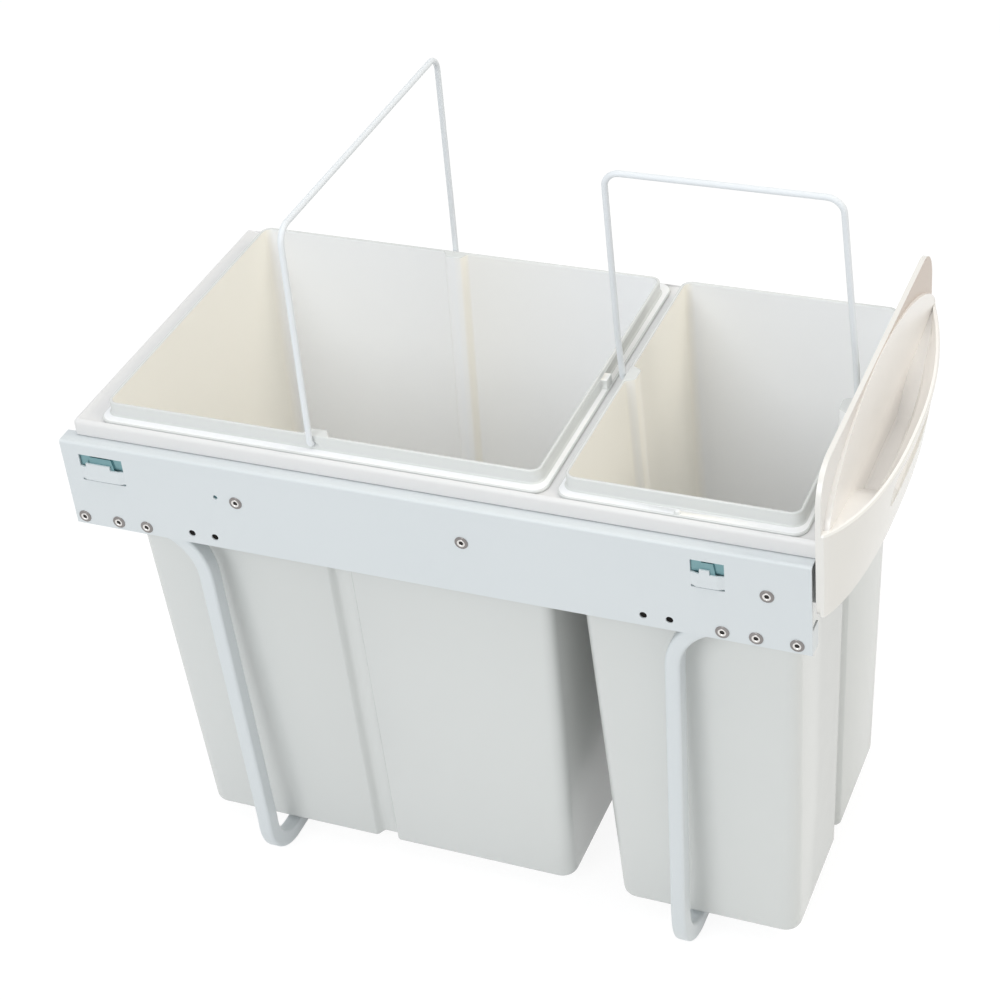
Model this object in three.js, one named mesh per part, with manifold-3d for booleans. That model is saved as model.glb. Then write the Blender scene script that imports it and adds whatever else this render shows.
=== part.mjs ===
// A kitchen pull-out waste unit. Two lift-out bins hang in a moulded carrier with a bow handle,
// and the carrier runs out of the cupboard on ball-bearing slides. The slides are riveted inside
// two pressed side plates, and two bent tubes carry the plates and stand on the cupboard floor.
// Millimetres, +Z up, front towards -Y, left towards -X. While it is drawn, height 0 is the top of
// the side plates, and a "distance" is measured forwards from the rear ends of the side plates.
import * as THREE from 'three';
import { mergeVertices } from 'three/addons/utils/BufferGeometryUtils.js';
import Module from 'manifold-3d';

// ---- driving dimensions ----

const unitWidth = 256; // over the outer faces of the side plates
const plateLength = 478.8;
const plateHeight = 63;
const sheet = 1.2; // steel of the plates and slides
const plateFlange = 12; // turned in along the top
const standHeight = 344; // cupboard floor to the top of the plates
const seat = 0.2; // between faces that rest on each other
const bendRadius = 1.4; // of a sheet's middle line
const holeClearance = 0.25; // round each rivet, screw and pin

// Windows in the plates, where a lanced bridge holds a hook of the slide.
const windowTop = 8.5; // below the top of the plates
const windowBottom = 27.7;
const bridgeTop = 17.2;
const nubTop = 14.2;
const bridgeFlank = 4; // length of each sloping end
const rearWindow = { start: 12, length: 30.5, nubStart: 4.5, nubLength: 17, hookTop: 15 };
const frontWindow = { start: plateLength - 70.3, length: 20, nubStart: 5.5, nubLength: 6, hookTop: 7 };

// Rivets and spare holes, as distances.
const slideRivets = [119, 268, plateLength - 25.8];
const rearBarRivets = [6.5, 31, 51]; // from the rear ends of the plates
const frontBarRivets = [8.8, 32.8, 52.8]; // back from their front ends
const rearScrewHoles = [83.5, 99.5];
const frontScrewHoles = [84.3, 100.3];
const screwHoleRadius = 2.3;
const gaugeHole = { distance: 105.3, height: -23.9, radius: 1.5 };
const rivetHead = { radius: 4.2, height: 1, mandrel: 1.2 };
const rivetShank = 1.9;
const rivetTail = 2.2;

// Support tubes.
const barDepth = 10; // front to back
const barWidth = 12; // side to side
const barWall = 1.2;
const barCorner = 2;
const barRise = 5.7; // middle of the top run above the plates' lower edges
const barInset = 1.5; // end of the tube from the end of the plate
const barLegTop = 84.2; // middle of the leg from the end of the plate, at the plate
const barLegFoot = 91.2; // and at the floor: the legs lean towards each other
const barTopBend = 36;
const barFootBend = 28;
const barAnkleBend = 60; // above this bend the leg leans, below it the leg is upright
const barAnkle = 12; // height of the ankle above the foot's bend

// Three-part slides.
const slideHeight = 45;
const slideWidth = 12.7;
const slideStart = 10;
const slideLength = plateLength - 28.8;
const slideMiddle = 25.5; // middle of the slide below the top of the plates
const ballRadius = 1.55;
const raceGap = 3.4; // between the flanges that a row of balls runs in
const ballsPerRow = 4;
const ballPitch = 44;
const cageSheet = 0.5;
const cageStart = 138;
const slideScrews = [70, 235, plateLength - 58.8];
const screwHead = { radius: 3.2, height: 1.5 };
const screwShank = 1.7;

// Carrier moulding.
const carrierInset = 8; // inside the outer faces of the plates
const carrierRear = 7.4;
const carrierLift = 0.7; // above the plates
const carrierRim = 11.5; // height of the outer rim
const carrierFloor = 10; // height that the bins' ledges rest on
const carrierWall = 2;
const carrierRound = 3.5;
const carrierCorner = 2.5;
const carrierReach = 1.4; // past the front ends of the plates
const rimWidth = 2.3;
const rearRimRun = 5; // the rear rim slopes down to the floor over this
const hangerWall = 1.6;
const hangerDrop = 36; // the side and front walls reach this far below the plates
const ribDrop = 20; // the cross ribs reach this far
const openingCorner = 6;

// Bins.
const rimHeight = 21;
const rimWall = 2;
const rimInset = 2.1; // inside the edges of the opening, at the sides
const binWall = 2;
const ledgeTop = 12.2;
const sideLedge = 5;
const binClearance = 0.7; // between a bin's body and its opening
const binDepth = 329.5; // below the top of the plates
const grooveWidth = 18;
const grooveDepth = 7.5;
const grooveFlank = 3;
// Where each rim's outer face is, how far the ledges stand out, and how far the body draws in.
const largeBin = {
  rear: 27.4,
  front: plateLength - 165.3,
  rearLedge: 3.4,
  frontLedge: 5,
  taper: { rear: 2.8, front: 11.5, side: 17 },
};
const smallBin = {
  rear: plateLength - 151.1,
  front: plateLength - 10.6,
  rearLedge: 3.5,
  frontLedge: 4,
  taper: { rear: 8.3, front: 11.2, side: 14 },
};
const ledgeBlock = { length: 9, width: 4.5, height: 6, across: -3.5 };
const ledgeNub = { radius: 2.2, height: 1.2 };

// Bails, bent from plastic-coated wire.
const wire = 1.9; // radius
const pivotHeight = 15.6;
const pivotReach = 5; // length of wire inside the rim
const bailOffset = 0.5; // between the wire and the rim
const bailStraight = 35; // of leg before it leans in
const largeBail = { reach: 145.8, lean: 1, tilt: 0.9, offset: -2.2 };
const smallBail = { reach: 152.3, lean: 3.6, tilt: -6.5 };
const bailCorner = 10;
const pinBend = 3;

// Handle.
const handleHalf = 126;
const handleSetting = 0.3; // between the carrier's front wall and the handle
const handlePlate = 3;
const handleTop = 60;
const handleBottom = 38; // below the top of the plates
const handleCorner = 22;
const handleFootCorner = 9;
const bowDepth = 25.5; // of the bow at its rim
const bowFoot = 14; // and at its lower edge
const bowRim = 21.5; // height of the rim
const bowWall = 3.5;
const archRise = 31; // the back of the bowl rises this far above the rim
const archWall = 3;
const wellDepth = 25; // below the top of the plates
const wellHalf = 83;
const undersideHalf = 100;
const gripHalf = 68;
const gripDepth = 7;
const handleScrew = { across: 70, drop: 15, length: 9 };

// ---- derived places ----

const plateInside = unitWidth / 2 - sheet;
const slideOutside = plateInside - seat;
const slideInside = slideOutside - slideWidth;
const hangerOutside = slideInside - seat;
const openingHalf = hangerOutside - hangerWall;
const carrierHalf = unitWidth / 2 - carrierInset;
const carrierFront = plateLength + carrierReach;
const rimHalf = openingHalf - rimInset;
const handleBack = carrierFront + handleSetting;
const handleFace = handleBack + handlePlate;
const bowStart = handleFace + 1.5;
const barRow = plateHeight - barRise; // below the top of the plates
const roundSteps = 10;
const bendSteps = 3;

// ---- materials ----

const finish = (color, roughness, metalness = 0) =>
  new THREE.MeshStandardMaterial({ color, roughness, metalness });
const paintedSteel = finish(0xdfe4e6, 0.4);
const zincSteel = finish(0x9db3b3, 0.35, 0.9);
const rivetSteel = finish(0xb5aea6, 0.35, 0.9);
const carrierPlastic = finish(0xf0f0ee, 0.45);
const binPlastic = finish(0xe2e2da, 0.35);
const handlePlastic = finish(0xe8e4dc, 0.3);
const coatedWire = finish(0xe9eef2, 0.3);

// ---- solids: joining and cutting ----

const wasm = await Module();
wasm.setup();

function solid(geometry) {
  const bare = geometry.index ? geometry.toNonIndexed() : geometry.clone();
  bare.deleteAttribute('normal');
  bare.deleteAttribute('uv');
  const merged = mergeVertices(bare, 1e-4);
  return new wasm.Manifold(new wasm.Mesh({
    numProp: 3,
    vertProperties: merged.attributes.position.array,
    triVerts: new Uint32Array(merged.index.array),
  }));
}

const join = (first, ...others) => others.reduce((sum, other) => sum.add(other), first);
const cut = (first, ...others) => others.reduce((rest, other) => rest.subtract(other), first);

// Coordinates are rounded to the nearest 0.1 micrometre, which keeps flat faces exactly flat.
function geometryOf(shape) {
  const mesh = shape.getMesh();
  const rounded = mesh.vertProperties.map((value) => Math.round(value * 1e4) / 1e4);
  const geometry = new THREE.BufferGeometry();
  geometry.setAttribute('position', new THREE.BufferAttribute(rounded, 3));
  geometry.setIndex(new THREE.BufferAttribute(mesh.triVerts, 1));
  const faceted = geometry.toNonIndexed();
  faceted.computeVertexNormals();
  return faceted;
}

function addPiece(parent, name, shape, material) {
  const mesh = new THREE.Mesh(geometryOf(shape), material);
  mesh.name = name;
  parent.add(mesh);
  return mesh;
}

// ---- solids: basic forms ----

// A block between two values of x, two distances and two heights.
function block([left, right], [rear, front], [low, high]) {
  const box = new THREE.BoxGeometry(right - left, front - rear, high - low);
  return solid(box.translate((left + right) / 2, -(rear + front) / 2, (low + high) / 2));
}

// A flat outline in x and height, extruded forwards between two distances.
function alongDepth(shape, rear, front) {
  const bar = new THREE.ExtrudeGeometry(shape, { depth: front - rear, bevelEnabled: false });
  return solid(bar.rotateX(Math.PI / 2).translate(0, -rear, 0));
}

// A flat outline in x and -distance, extruded upwards between two heights.
function upwards(shape, low, high) {
  const slab = new THREE.ExtrudeGeometry(shape, { depth: high - low, bevelEnabled: false });
  return solid(slab.translate(0, 0, low));
}

// A turned piece whose axis runs inwards (+x): the profile is a list of [radius, x].
function turnedAcross(profile, distance, height) {
  const points = profile.map(([radius, x]) => new THREE.Vector2(radius, -x));
  const turned = new THREE.LatheGeometry(points, roundSteps);
  return solid(turned.rotateZ(Math.PI / 2).translate(0, -distance, height));
}

// A plain round bar or hole that runs across, between two values of x.
const roundAcross = (radius, [left, right], distance, height) =>
  turnedAcross([[0, right], [radius, right], [radius, left], [0, left]], distance, height);

// A closed body through rings of points. Each ring runs anticlockwise as seen from the next.
function loft(rings) {
  const count = rings[0].length;
  const corners = [];
  const centre = (ring) => ring.reduce((sum, point) => sum.add(point), new THREE.Vector3())
    .divideScalar(count);
  const [first, last] = [rings[0], rings[rings.length - 1]];
  const [firstCentre, lastCentre] = [centre(first), centre(last)];
  for (let i = 0; i < count; i += 1) {
    const next = (i + 1) % count;
    corners.push(firstCentre, first[next], first[i], lastCentre, last[i], last[next]);
    for (let level = 1; level < rings.length; level += 1) {
      const [lower, upper] = [rings[level - 1], rings[level]];
      corners.push(lower[i], lower[next], upper[next], lower[i], upper[next], upper[i]);
    }
  }
  return solid(new THREE.BufferGeometry().setFromPoints(corners));
}

// A rectangular ring with rounded corners, between two distances and +half and -half across.
// A groove narrows it: the walls that face sideways or lengthways are drawn in by groove.depth.
function binRing({ rear, front, half, corner, height }, groove) {
  const middle = (rear + front) / 2;
  const halfLength = (front - rear) / 2;
  const steps = 3;
  const ring = [];
  const add = (x, y) => ring.push(new THREE.Vector3(x, y - middle, height));
  const walls = [[1, 1], [-1, 1], [-1, -1], [1, -1]];
  walls.forEach(([sideX, sideY], wall) => {
    for (let step = 0; step <= steps; step += 1) {
      const angle = (Math.PI / 2) * (wall + step / steps);
      add(
        sideX * (half - corner) + corner * Math.cos(angle),
        sideY * (halfLength - corner) + corner * Math.sin(angle),
      );
    }
    const sideways = wall % 2 === 1; // the next wall faces -x or +x
    if (!groove || groove.sideways !== sideways) return;
    const outer = groove.width / 2;
    const inner = outer - groove.flank;
    const away = wall < 2 ? 1 : -1;
    for (const [along, depth] of [[-outer, 0], [-inner, groove.depth], [inner, groove.depth], [outer, 0]]) {
      if (sideways) add(-away * (half - depth), -away * along);
      else add(away * along * -1, away * (halfLength - depth));
    }
  });
  return ring;
}

// Stations along a run with round bends. p and q are the directions of the section, and each bend
// turns them with it.
function bentRun(corners, radii, steps, p, q) {
  const stations = [{ at: corners[0].clone(), p, q }];
  for (let i = 1; i < corners.length - 1; i += 1) {
    const before = corners[i].clone().sub(corners[i - 1]).normalize();
    const after = corners[i + 1].clone().sub(corners[i]).normalize();
    const turn = before.angleTo(after);
    const axis = before.clone().cross(after).normalize();
    const radius = radii[i - 1];
    const start = corners[i].clone().addScaledVector(before, -radius * Math.tan(turn / 2));
    const centre = start.clone().addScaledVector(axis.clone().cross(before), radius);
    const { p: startP, q: startQ } = stations[stations.length - 1];
    for (let step = 0; step <= steps; step += 1) {
      const part = new THREE.Quaternion().setFromAxisAngle(axis, (turn * step) / steps);
      stations.push({
        at: start.clone().sub(centre).applyQuaternion(part).add(centre),
        p: startP.clone().applyQuaternion(part),
        q: startQ.clone().applyQuaternion(part),
      });
    }
  }
  const { p: endP, q: endQ } = stations[stations.length - 1];
  stations.push({ at: corners[corners.length - 1].clone(), p: endP, q: endQ });
  return stations;
}

// A section of points [along p, along q] carried along the stations.
const sweep = (stations, section) => loft(stations.map(({ at, p, q }) =>
  section.map(([m, n]) => at.clone().addScaledVector(p, m).addScaledVector(q, n))));

function roundedSection(width, depth, corner, steps) {
  const points = [];
  [[1, 1], [-1, 1], [-1, -1], [1, -1]].forEach(([sideP, sideQ], quarter) => {
    for (let step = 0; step <= steps; step += 1) {
      const angle = (Math.PI / 2) * (quarter + step / steps);
      points.push([
        sideP * (width / 2 - corner) + corner * Math.cos(angle),
        sideQ * (depth / 2 - corner) + corner * Math.sin(angle),
      ]);
    }
  });
  return points;
}

// The outline of a bent sheet whose middle line runs through the corner points.
function sheetShape(corners, thickness, radius = bendRadius) {
  const middle = corners.map(([x, y]) => new THREE.Vector3(x, y, 0));
  const along = middle[1].clone().sub(middle[0]).normalize();
  const across = new THREE.Vector3(-along.y, along.x, 0);
  const radii = corners.map(() => radius);
  const stations = bentRun(middle, radii, bendSteps, across, new THREE.Vector3(0, 0, 1));
  const edge = (side) => stations.map(({ at, p }) =>
    new THREE.Vector2(at.x, at.y).addScaledVector(p, (side * thickness) / 2));
  return new THREE.Shape([...edge(1), ...edge(-1).reverse()]);
}

// ---- side plates ----

// The bridge over a window is a strip cut free along its upper and lower edges and pressed out.
function windowBridge({ start, length, nubStart, nubLength }) {
  const flat = -unitWidth / 2 + sheet / 2;
  const raised = flat - sheet - seat;
  const end = start + length;
  const plan = sheetShape([
    [flat, -start + 1.5],
    [flat, -start - bendRadius / 2],
    [raised, -start - bridgeFlank],
    [raised, -end + bridgeFlank],
    [flat, -end + bendRadius / 2],
    [flat, -end - 1.5],
  ], sheet, 0.8);
  const nub = block(
    [raised - sheet / 2, raised + sheet / 2],
    [start + nubStart, start + nubStart + nubLength],
    [-bridgeTop - 1, -nubTop],
  );
  return join(upwards(plan, -windowBottom + 0.6, -bridgeTop), nub);
}

const windowCut = ({ start, length }) => block(
  [-unitWidth / 2 - 1, -plateInside + 0.5],
  [start, start + length],
  [-windowBottom, -windowTop],
);

const barRivets = {
  rear: rearBarRivets,
  front: frontBarRivets.map((inset) => plateLength - inset),
};

function sidePlate() {
  const web = -unitWidth / 2 + sheet / 2;
  const profile = sheetShape([
    [web, -plateHeight],
    [web, -sheet / 2],
    [-unitWidth / 2 + plateFlange, -sheet / 2],
  ], sheet);
  const endTab = block(
    [-unitWidth / 2, -unitWidth / 2 + plateFlange],
    [plateLength - sheet, plateLength],
    [-plateHeight, -plateHeight + barDepth + barRise + 1],
  );
  const through = [-unitWidth / 2 - 1, -plateInside + 1];
  const rivetHoles = [
    ...slideRivets.map((distance) => [distance, -slideMiddle]),
    ...[...barRivets.rear, ...barRivets.front].map((distance) => [distance, -barRow]),
  ];
  const spareHoles = [
    ...rearScrewHoles,
    ...frontScrewHoles.map((inset) => plateLength - inset),
  ];
  return join(
    cut(
      join(alongDepth(profile, 0, plateLength), endTab),
      windowCut(rearWindow),
      windowCut(frontWindow),
      ...rivetHoles.map(([distance, height]) =>
        roundAcross(rivetShank + holeClearance, through, distance, height)),
      ...spareHoles.map((distance) => roundAcross(screwHoleRadius, through, distance, -barRow + 1.8)),
      roundAcross(gaugeHole.radius, through, gaugeHole.distance, gaugeHole.height),
    ),
    windowBridge(rearWindow),
    windowBridge(frontWindow),
  );
}

// A pop rivet: a domed head with the mandrel's hole, a shank, and a tail where there is room.
function rivet(distance, height, end, tail) {
  const face = -unitWidth / 2;
  const { radius, height: rise, mandrel } = rivetHead;
  return turnedAcross([
    [0, end],
    ...(tail ? [[tail, end], [tail, end - 1.6], [rivetShank, end - 1.6]] : [[rivetShank, end]]),
    [rivetShank, face],
    [radius, face],
    [radius * 0.8, face - rise],
    [mandrel, face - rise],
    [0, face],
  ], distance, height);
}

// ---- support tubes ----

// Each tube runs forwards or back under the plates, down, across the floor and up again.
function supportBar(end, direction) {
  const side = plateInside - seat - barWidth / 2;
  const floor = -standHeight + barWidth / 2;
  const start = end + direction * barInset;
  const [legTop, legFoot] = [barLegTop, barLegFoot].map((inset) => end + direction * inset);
  const at = (x, distance, height) => new THREE.Vector3(x, -distance, height);
  const corners = [
    at(-side, start, -barRow),
    at(-side, legTop, -barRow),
    at(-side, legFoot, floor + barFootBend + barAnkle),
    at(-side, legFoot, floor),
    at(side, legFoot, floor),
    at(side, legFoot, floor + barFootBend + barAnkle),
    at(side, legTop, -barRow),
    at(side, start, -barRow),
  ];
  const foot = [barAnkleBend, barFootBend, barFootBend, barAnkleBend];
  const radii = [barTopBend, ...foot, barTopBend];
  const up = new THREE.Vector3(0, 0, 1);
  const across = new THREE.Vector3(-direction, 0, 0);
  const tube = (width, depth, rounding, overrun) => {
    const reach = new THREE.Vector3(0, direction * overrun, 0);
    const last = corners.length - 1;
    const ends = corners.map((corner, i) => (i % last === 0 ? corner.clone().add(reach) : corner));
    return sweep(bentRun(ends, radii, 5, up, across), roundedSection(depth, width, rounding, 1));
  };
  const rivetRow = direction > 0 ? barRivets.rear : barRivets.front;
  const hole = (from, to) => rivetRow.map((distance) =>
    roundAcross(rivetShank + holeClearance, [from, to], distance, -barRow));
  return cut(
    tube(barWidth, barDepth, barCorner, 0),
    tube(barWidth - 2 * barWall, barDepth - 2 * barWall, barCorner - barWall / 2, 1),
    ...hole(-plateInside, -side),
    ...hole(side, plateInside),
  );
}

// ---- slides ----

// Profiles are drawn for the left side: depths run inwards from the plate, heights from the middle.
const slidePoint = ([inwards, height]) => [-slideOutside + inwards, height - slideMiddle];
const mirrored = (points) => [
  ...points,
  ...points.map(([inwards, height]) => [inwards, -height]).reverse(),
];
const slideSection = (points, thickness) => alongDepth(
  sheetShape(mirrored(points).map(slidePoint), thickness, Math.min(bendRadius, 1)),
  slideStart,
  slideStart + slideLength,
);

const outerFlange = slideHeight / 2 - sheet / 2;
const middleFlange = outerFlange - sheet - raceGap;
const innerFlange = middleFlange - sheet - raceGap;
const outerRace = (outerFlange + middleFlange) / 2;
const innerRace = (middleFlange + innerFlange) / 2;
const cageGap = 0.35;
const middleWeb = sheet + cageGap * 2 + cageSheet;
const ballLine = slideWidth / 2;

// The hook is a tongue of the outer member that stands out behind a bridge in the plate.
function slideHook({ start, length, hookTop }) {
  const middle = start + length / 2;
  const foot = hookTop + 6;
  const outline = new THREE.Shape([
    new THREE.Vector2(-foot / 2, -windowBottom + 1.2),
    new THREE.Vector2(foot / 2, -windowBottom + 1.2),
    new THREE.Vector2(hookTop / 2, -windowTop - 1),
    new THREE.Vector2(-hookTop / 2, -windowTop - 1),
  ]);
  const tongue = new THREE.ExtrudeGeometry(outline, { depth: sheet, bevelEnabled: false });
  tongue.rotateX(Math.PI / 2).rotateZ(-Math.PI / 2).translate(-slideOutside, -middle, 0);
  const root = block(
    [-slideOutside - sheet, -slideOutside + sheet / 2],
    [middle - hookTop / 2, middle + hookTop / 2],
    [-windowBottom + 1.2, -windowBottom + 4],
  );
  return join(solid(tongue), root);
}

function slideOuter() {
  const section = slideSection([
    [slideWidth - 3, outerFlange - 1.4],
    [slideWidth - 4.2, outerFlange],
    [sheet / 2, outerFlange],
  ], sheet);
  return join(
    cut(section, ...slideRivets.map((distance) => roundAcross(
      rivetShank + holeClearance,
      [-plateInside, -slideOutside + sheet + 1],
      distance,
      -slideMiddle,
    ))),
    slideHook(rearWindow),
    slideHook(frontWindow),
  );
}

const slideCentre = () => slideSection([
  [slideWidth - sheet, middleFlange],
  [middleWeb + sheet / 2, middleFlange],
], sheet);

function slideInner() {
  const section = slideSection([
    [middleWeb + sheet + cageGap * 2 + cageSheet + sheet, innerFlange],
    [slideWidth - sheet / 2, innerFlange],
  ], sheet);
  return cut(section, ...slideScrews.map((distance) => roundAcross(
    screwShank + holeClearance,
    [-slideInside - 3, -slideInside + 1],
    distance,
    -slideMiddle,
  )));
}

// A ball cage: a thin channel between two members, with a row of balls in each flange.
function ballCage(web, race) {
  const cageLength = ballPitch * ballsPerRow;
  const strip = alongDepth(
    sheetShape(mirrored([[slideWidth - 4.4, race], [web, race]]).map(slidePoint), cageSheet, 0.8),
    cageStart,
    cageStart + cageLength,
  );
  const balls = [-race, race].flatMap((height) =>
    Array.from({ length: ballsPerRow }, (_, i) => {
      const ball = new THREE.SphereGeometry(ballRadius, 6, 4);
      const [x, z] = slidePoint([ballLine, height]);
      return solid(ball.translate(x, -(cageStart + ballPitch * (i + 0.5)), z));
    }));
  return join(strip, ...balls);
}

// A pan-head screw from inside the carrier's wall into the slide's inner member.
function slideScrew(distance) {
  const face = -openingHalf + 0.1;
  const tip = -slideInside - sheet - 2;
  return turnedAcross([
    [0, face + screwHead.height],
    [screwHead.radius * 0.7, face + screwHead.height],
    [screwHead.radius, face],
    [screwShank, face],
    [screwShank, tip],
    [0, tip],
  ], distance, -slideMiddle);
}

// ---- carrier ----

const carrierRing = (inset, height, front = carrierFront) => binRing({
  rear: carrierRear + inset,
  front,
  half: carrierHalf - inset,
  corner: Math.max(carrierCorner - inset, 0.5),
  height,
});

// The rings are drawn longer than the carrier and cut square, where the handle closes the front.
function carrier() {
  const past = carrierFront + 20;
  const square = block([-unitWidth, unitWidth], [carrierFront, past + 20], [-50, 50]);
  const roundLevels = [0, 1, 2, 3].map((step) => {
    const angle = ((Math.PI / 2) * step) / 3;
    return carrierRing(
      carrierRound * (1 - Math.cos(angle)),
      carrierRim - carrierRound + carrierRound * Math.sin(angle),
      past,
    );
  });
  const shell = loft([carrierRing(0, carrierLift, past), ...roundLevels]);
  const tray = loft([
    binRing({
      rear: carrierRear + rimWidth + rearRimRun,
      front: past + 10,
      half: carrierHalf - rimWidth,
      corner: 2,
      height: carrierFloor,
    }),
    binRing({
      rear: carrierRear + rimWidth - 1,
      front: past + 10,
      half: carrierHalf - rimWidth,
      corner: 2,
      height: carrierRim + 0.5,
    }),
  ]);
  const underside = loft([
    carrierRing(carrierWall, carrierLift - 1, past + 10),
    carrierRing(carrierWall, carrierFloor - carrierWall, past + 10),
  ]);
  const hanger = block(
    [-hangerOutside, hangerOutside],
    [largeBin.rear - hangerWall, carrierFront],
    [-hangerDrop, carrierFloor - carrierWall + 0.5],
  );
  const opening = ({ rear, front }) => {
    const ring = (height) => binRing({ rear, front, half: openingHalf, corner: openingCorner, height });
    return loft([ring(-hangerDrop - 1), ring(carrierRim + 1)]);
  };
  // The cross ribs are hollow channels: a pocket between two thin walls, open below.
  const pocket = (rear, front) => block(
    [-openingHalf, openingHalf],
    [rear, front],
    [-hangerDrop - 1, carrierFloor - carrierWall],
  );
  const belowRib = (rear, front) => block(
    [-openingHalf, openingHalf],
    [rear, front],
    [-hangerDrop - 1, -ribDrop],
  );
  const screwHole = (side) => {
    const hole = new THREE.CylinderGeometry(screwShank + holeClearance, screwShank + holeClearance,
      3 * hangerWall, roundSteps);
    return solid(hole.translate(side * handleScrew.across, -carrierFront + 1, -handleScrew.drop));
  };
  return cut(
    join(cut(shell, tray, underside, square), cut(hanger, square)),
    opening(largeBin),
    opening(smallBin),
    pocket(largeBin.front + hangerWall, smallBin.rear - hangerWall),
    pocket(smallBin.front + hangerWall, carrierFront - carrierWall),
    belowRib(largeBin.front - 1, smallBin.rear + 1),
    belowRib(smallBin.front - 1, carrierFront - carrierWall),
    belowRib(largeBin.rear - hangerWall - 1, largeBin.rear + 1),
    ...slideScrews.flatMap((distance) => [
      [-hangerOutside - 1, -openingHalf + 1],
      [openingHalf - 1, hangerOutside + 1],
    ].map((span) => roundAcross(screwShank + holeClearance, span, distance, -slideMiddle))),
    screwHole(-1),
    screwHole(1),
  );
}

// ---- bins ----

// A bin is one skin: up the outside from the floor, round the ledge and rim, and down the inside.
// The groove runs down the outside below the ledge, and shows as a rib all the way up inside.
function bin({ rear, front, rearLedge, frontLedge, taper }, sideways) {
  const ledgeUnder = carrierFloor + seat;
  const groove = (depth, width = grooveWidth) => ({ sideways, depth, width, flank: grooveFlank });
  const level = (amount, inset, height, corner) => ({
    rear: rear + taper.rear * amount + inset,
    front: front - taper.front * amount - inset,
    half: rimHalf - taper.side * amount - inset,
    corner,
    height,
  });
  const ledge = (inset, height) => ({
    rear: rear - rearLedge + inset,
    front: front + frontLedge - inset,
    half: openingHalf + sideLedge - inset,
    corner: 9,
    height,
  });
  const flat = groove(0);
  const outside = groove(grooveDepth);
  const inside = groove(grooveDepth);
  const rimTop = rimHeight;
  return loft([
    binRing(level(1, 5, -binDepth, 7), outside),
    binRing(level(1, 1.5, -binDepth + 1.5, 9.5), outside),
    binRing(level(1, 0, -binDepth + 5, 11), outside),
    binRing(level(0, binClearance, ledgeUnder, 7), outside),
    binRing(ledge(0, ledgeUnder), flat),
    binRing(ledge(0, ledgeTop - 0.6), flat),
    binRing(ledge(0.6, ledgeTop), flat),
    binRing(level(0, 0, ledgeTop, 7), flat),
    binRing(level(0, 0, rimTop - 0.6, 7), flat),
    binRing(level(0, 0.6, rimTop, 6.4), flat),
    binRing(level(0, rimWall - 0.4, rimTop, 5.4), groove(grooveDepth)),
    binRing(level(0, rimWall, rimTop - 0.4, 5), inside),
    binRing(level(1, binWall, -binDepth + binWall + 6, 9), inside),
    binRing(level(1, binWall + 5, -binDepth + binWall, 5), inside),
  ]);
}

function largeBinShape() {
  const { rear, front } = largeBin;
  const pivot = (rear + front) / 2 + largeBail.offset;
  const stop = block(
    [ledgeBlock.across - ledgeBlock.length / 2, ledgeBlock.across + ledgeBlock.length / 2],
    [front - 0.5, front + ledgeBlock.width],
    [ledgeTop - 0.5, ledgeTop + ledgeBlock.height],
  );
  const pins = [-1, 1].map((side) => {
    const span = [rimHalf - pivotReach - 1, rimHalf + 1].map((x) => side * x);
    return roundAcross(wire + holeClearance, span.sort((a, b) => a - b), pivot, pivotHeight);
  });
  return cut(join(bin(largeBin, true), stop), ...pins);
}

// A round hole that runs forwards between two distances, on the middle of the unit.
function pinHoleForward(rear, front) {
  const hole = new THREE.CylinderGeometry(wire + holeClearance, wire + holeClearance,
    front - rear, roundSteps);
  return solid(hole.translate(0, -(rear + front) / 2, pivotHeight));
}

function smallBinShape() {
  const { rear, front } = smallBin;
  const nub = new THREE.CylinderGeometry(ledgeNub.radius * 0.7, ledgeNub.radius,
    ledgeNub.height + 0.5, roundSteps);
  nub.rotateX(Math.PI / 2).translate(
    -openingHalf - ledgeNub.radius - 0.2,
    -(rear + front) / 2,
    ledgeTop + ledgeNub.height / 2 - 0.25,
  );
  return cut(
    join(bin(smallBin, false), solid(nub)),
    pinHoleForward(rear - 1, rear + pivotReach + 1),
    pinHoleForward(front - pivotReach - 1, front + 1),
  );
}

// ---- bails ----

// Drawn upright about its pivot: pins at both feet point inwards, and the legs lean in above.
function bail(half, { reach, lean }) {
  const leg = half + bailOffset + wire;
  const tip = half - pivotReach;
  const at = (x, z) => new THREE.Vector3(x, 0, z);
  const right = [at(tip, 0), at(leg, 0), at(leg, bailStraight), at(leg - lean, reach)];
  const left = right.map(({ x, z }) => at(-x, z)).reverse();
  const radii = [pinBend, 60, bailCorner, bailCorner, 60, pinBend];
  const section = Array.from({ length: 8 }, (_, i) => {
    const angle = (Math.PI / 4) * (i + 0.5);
    return [wire * Math.cos(angle), wire * Math.sin(angle)];
  });
  const up = new THREE.Vector3(0, 0, 1);
  const forwards = new THREE.Vector3(0, -1, 0);
  return sweep(bentRun([...right, ...left], radii, 4, up, forwards), section);
}

// ---- handle ----

const bow = (x, depth) =>
  bowStart + depth * Math.max(0, 1 - Math.abs(x / handleHalf) ** 2.4) ** 0.8;
const bowDepthAt = (height) => THREE.MathUtils.mapLinear(
  height,
  -handleBottom,
  bowRim,
  bowFoot,
  bowDepth,
);

// A plan of the bowl at one height: a straight back and a front that follows the bow.
function bowRing({ half, back, height, inset = 0, steps = 16 }) {
  const ring = [];
  for (let step = 0; step <= steps; step += 1) {
    const x = half * Math.sin((Math.PI / 2) * ((2 * step) / steps - 1));
    const front = bow(x, bowDepthAt(height)) - inset;
    ring.push(new THREE.Vector3(x, -Math.max(front, back + 0.2), height));
  }
  ring.push(new THREE.Vector3(half, -back, height), new THREE.Vector3(-half, -back, height));
  return ring;
}

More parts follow.
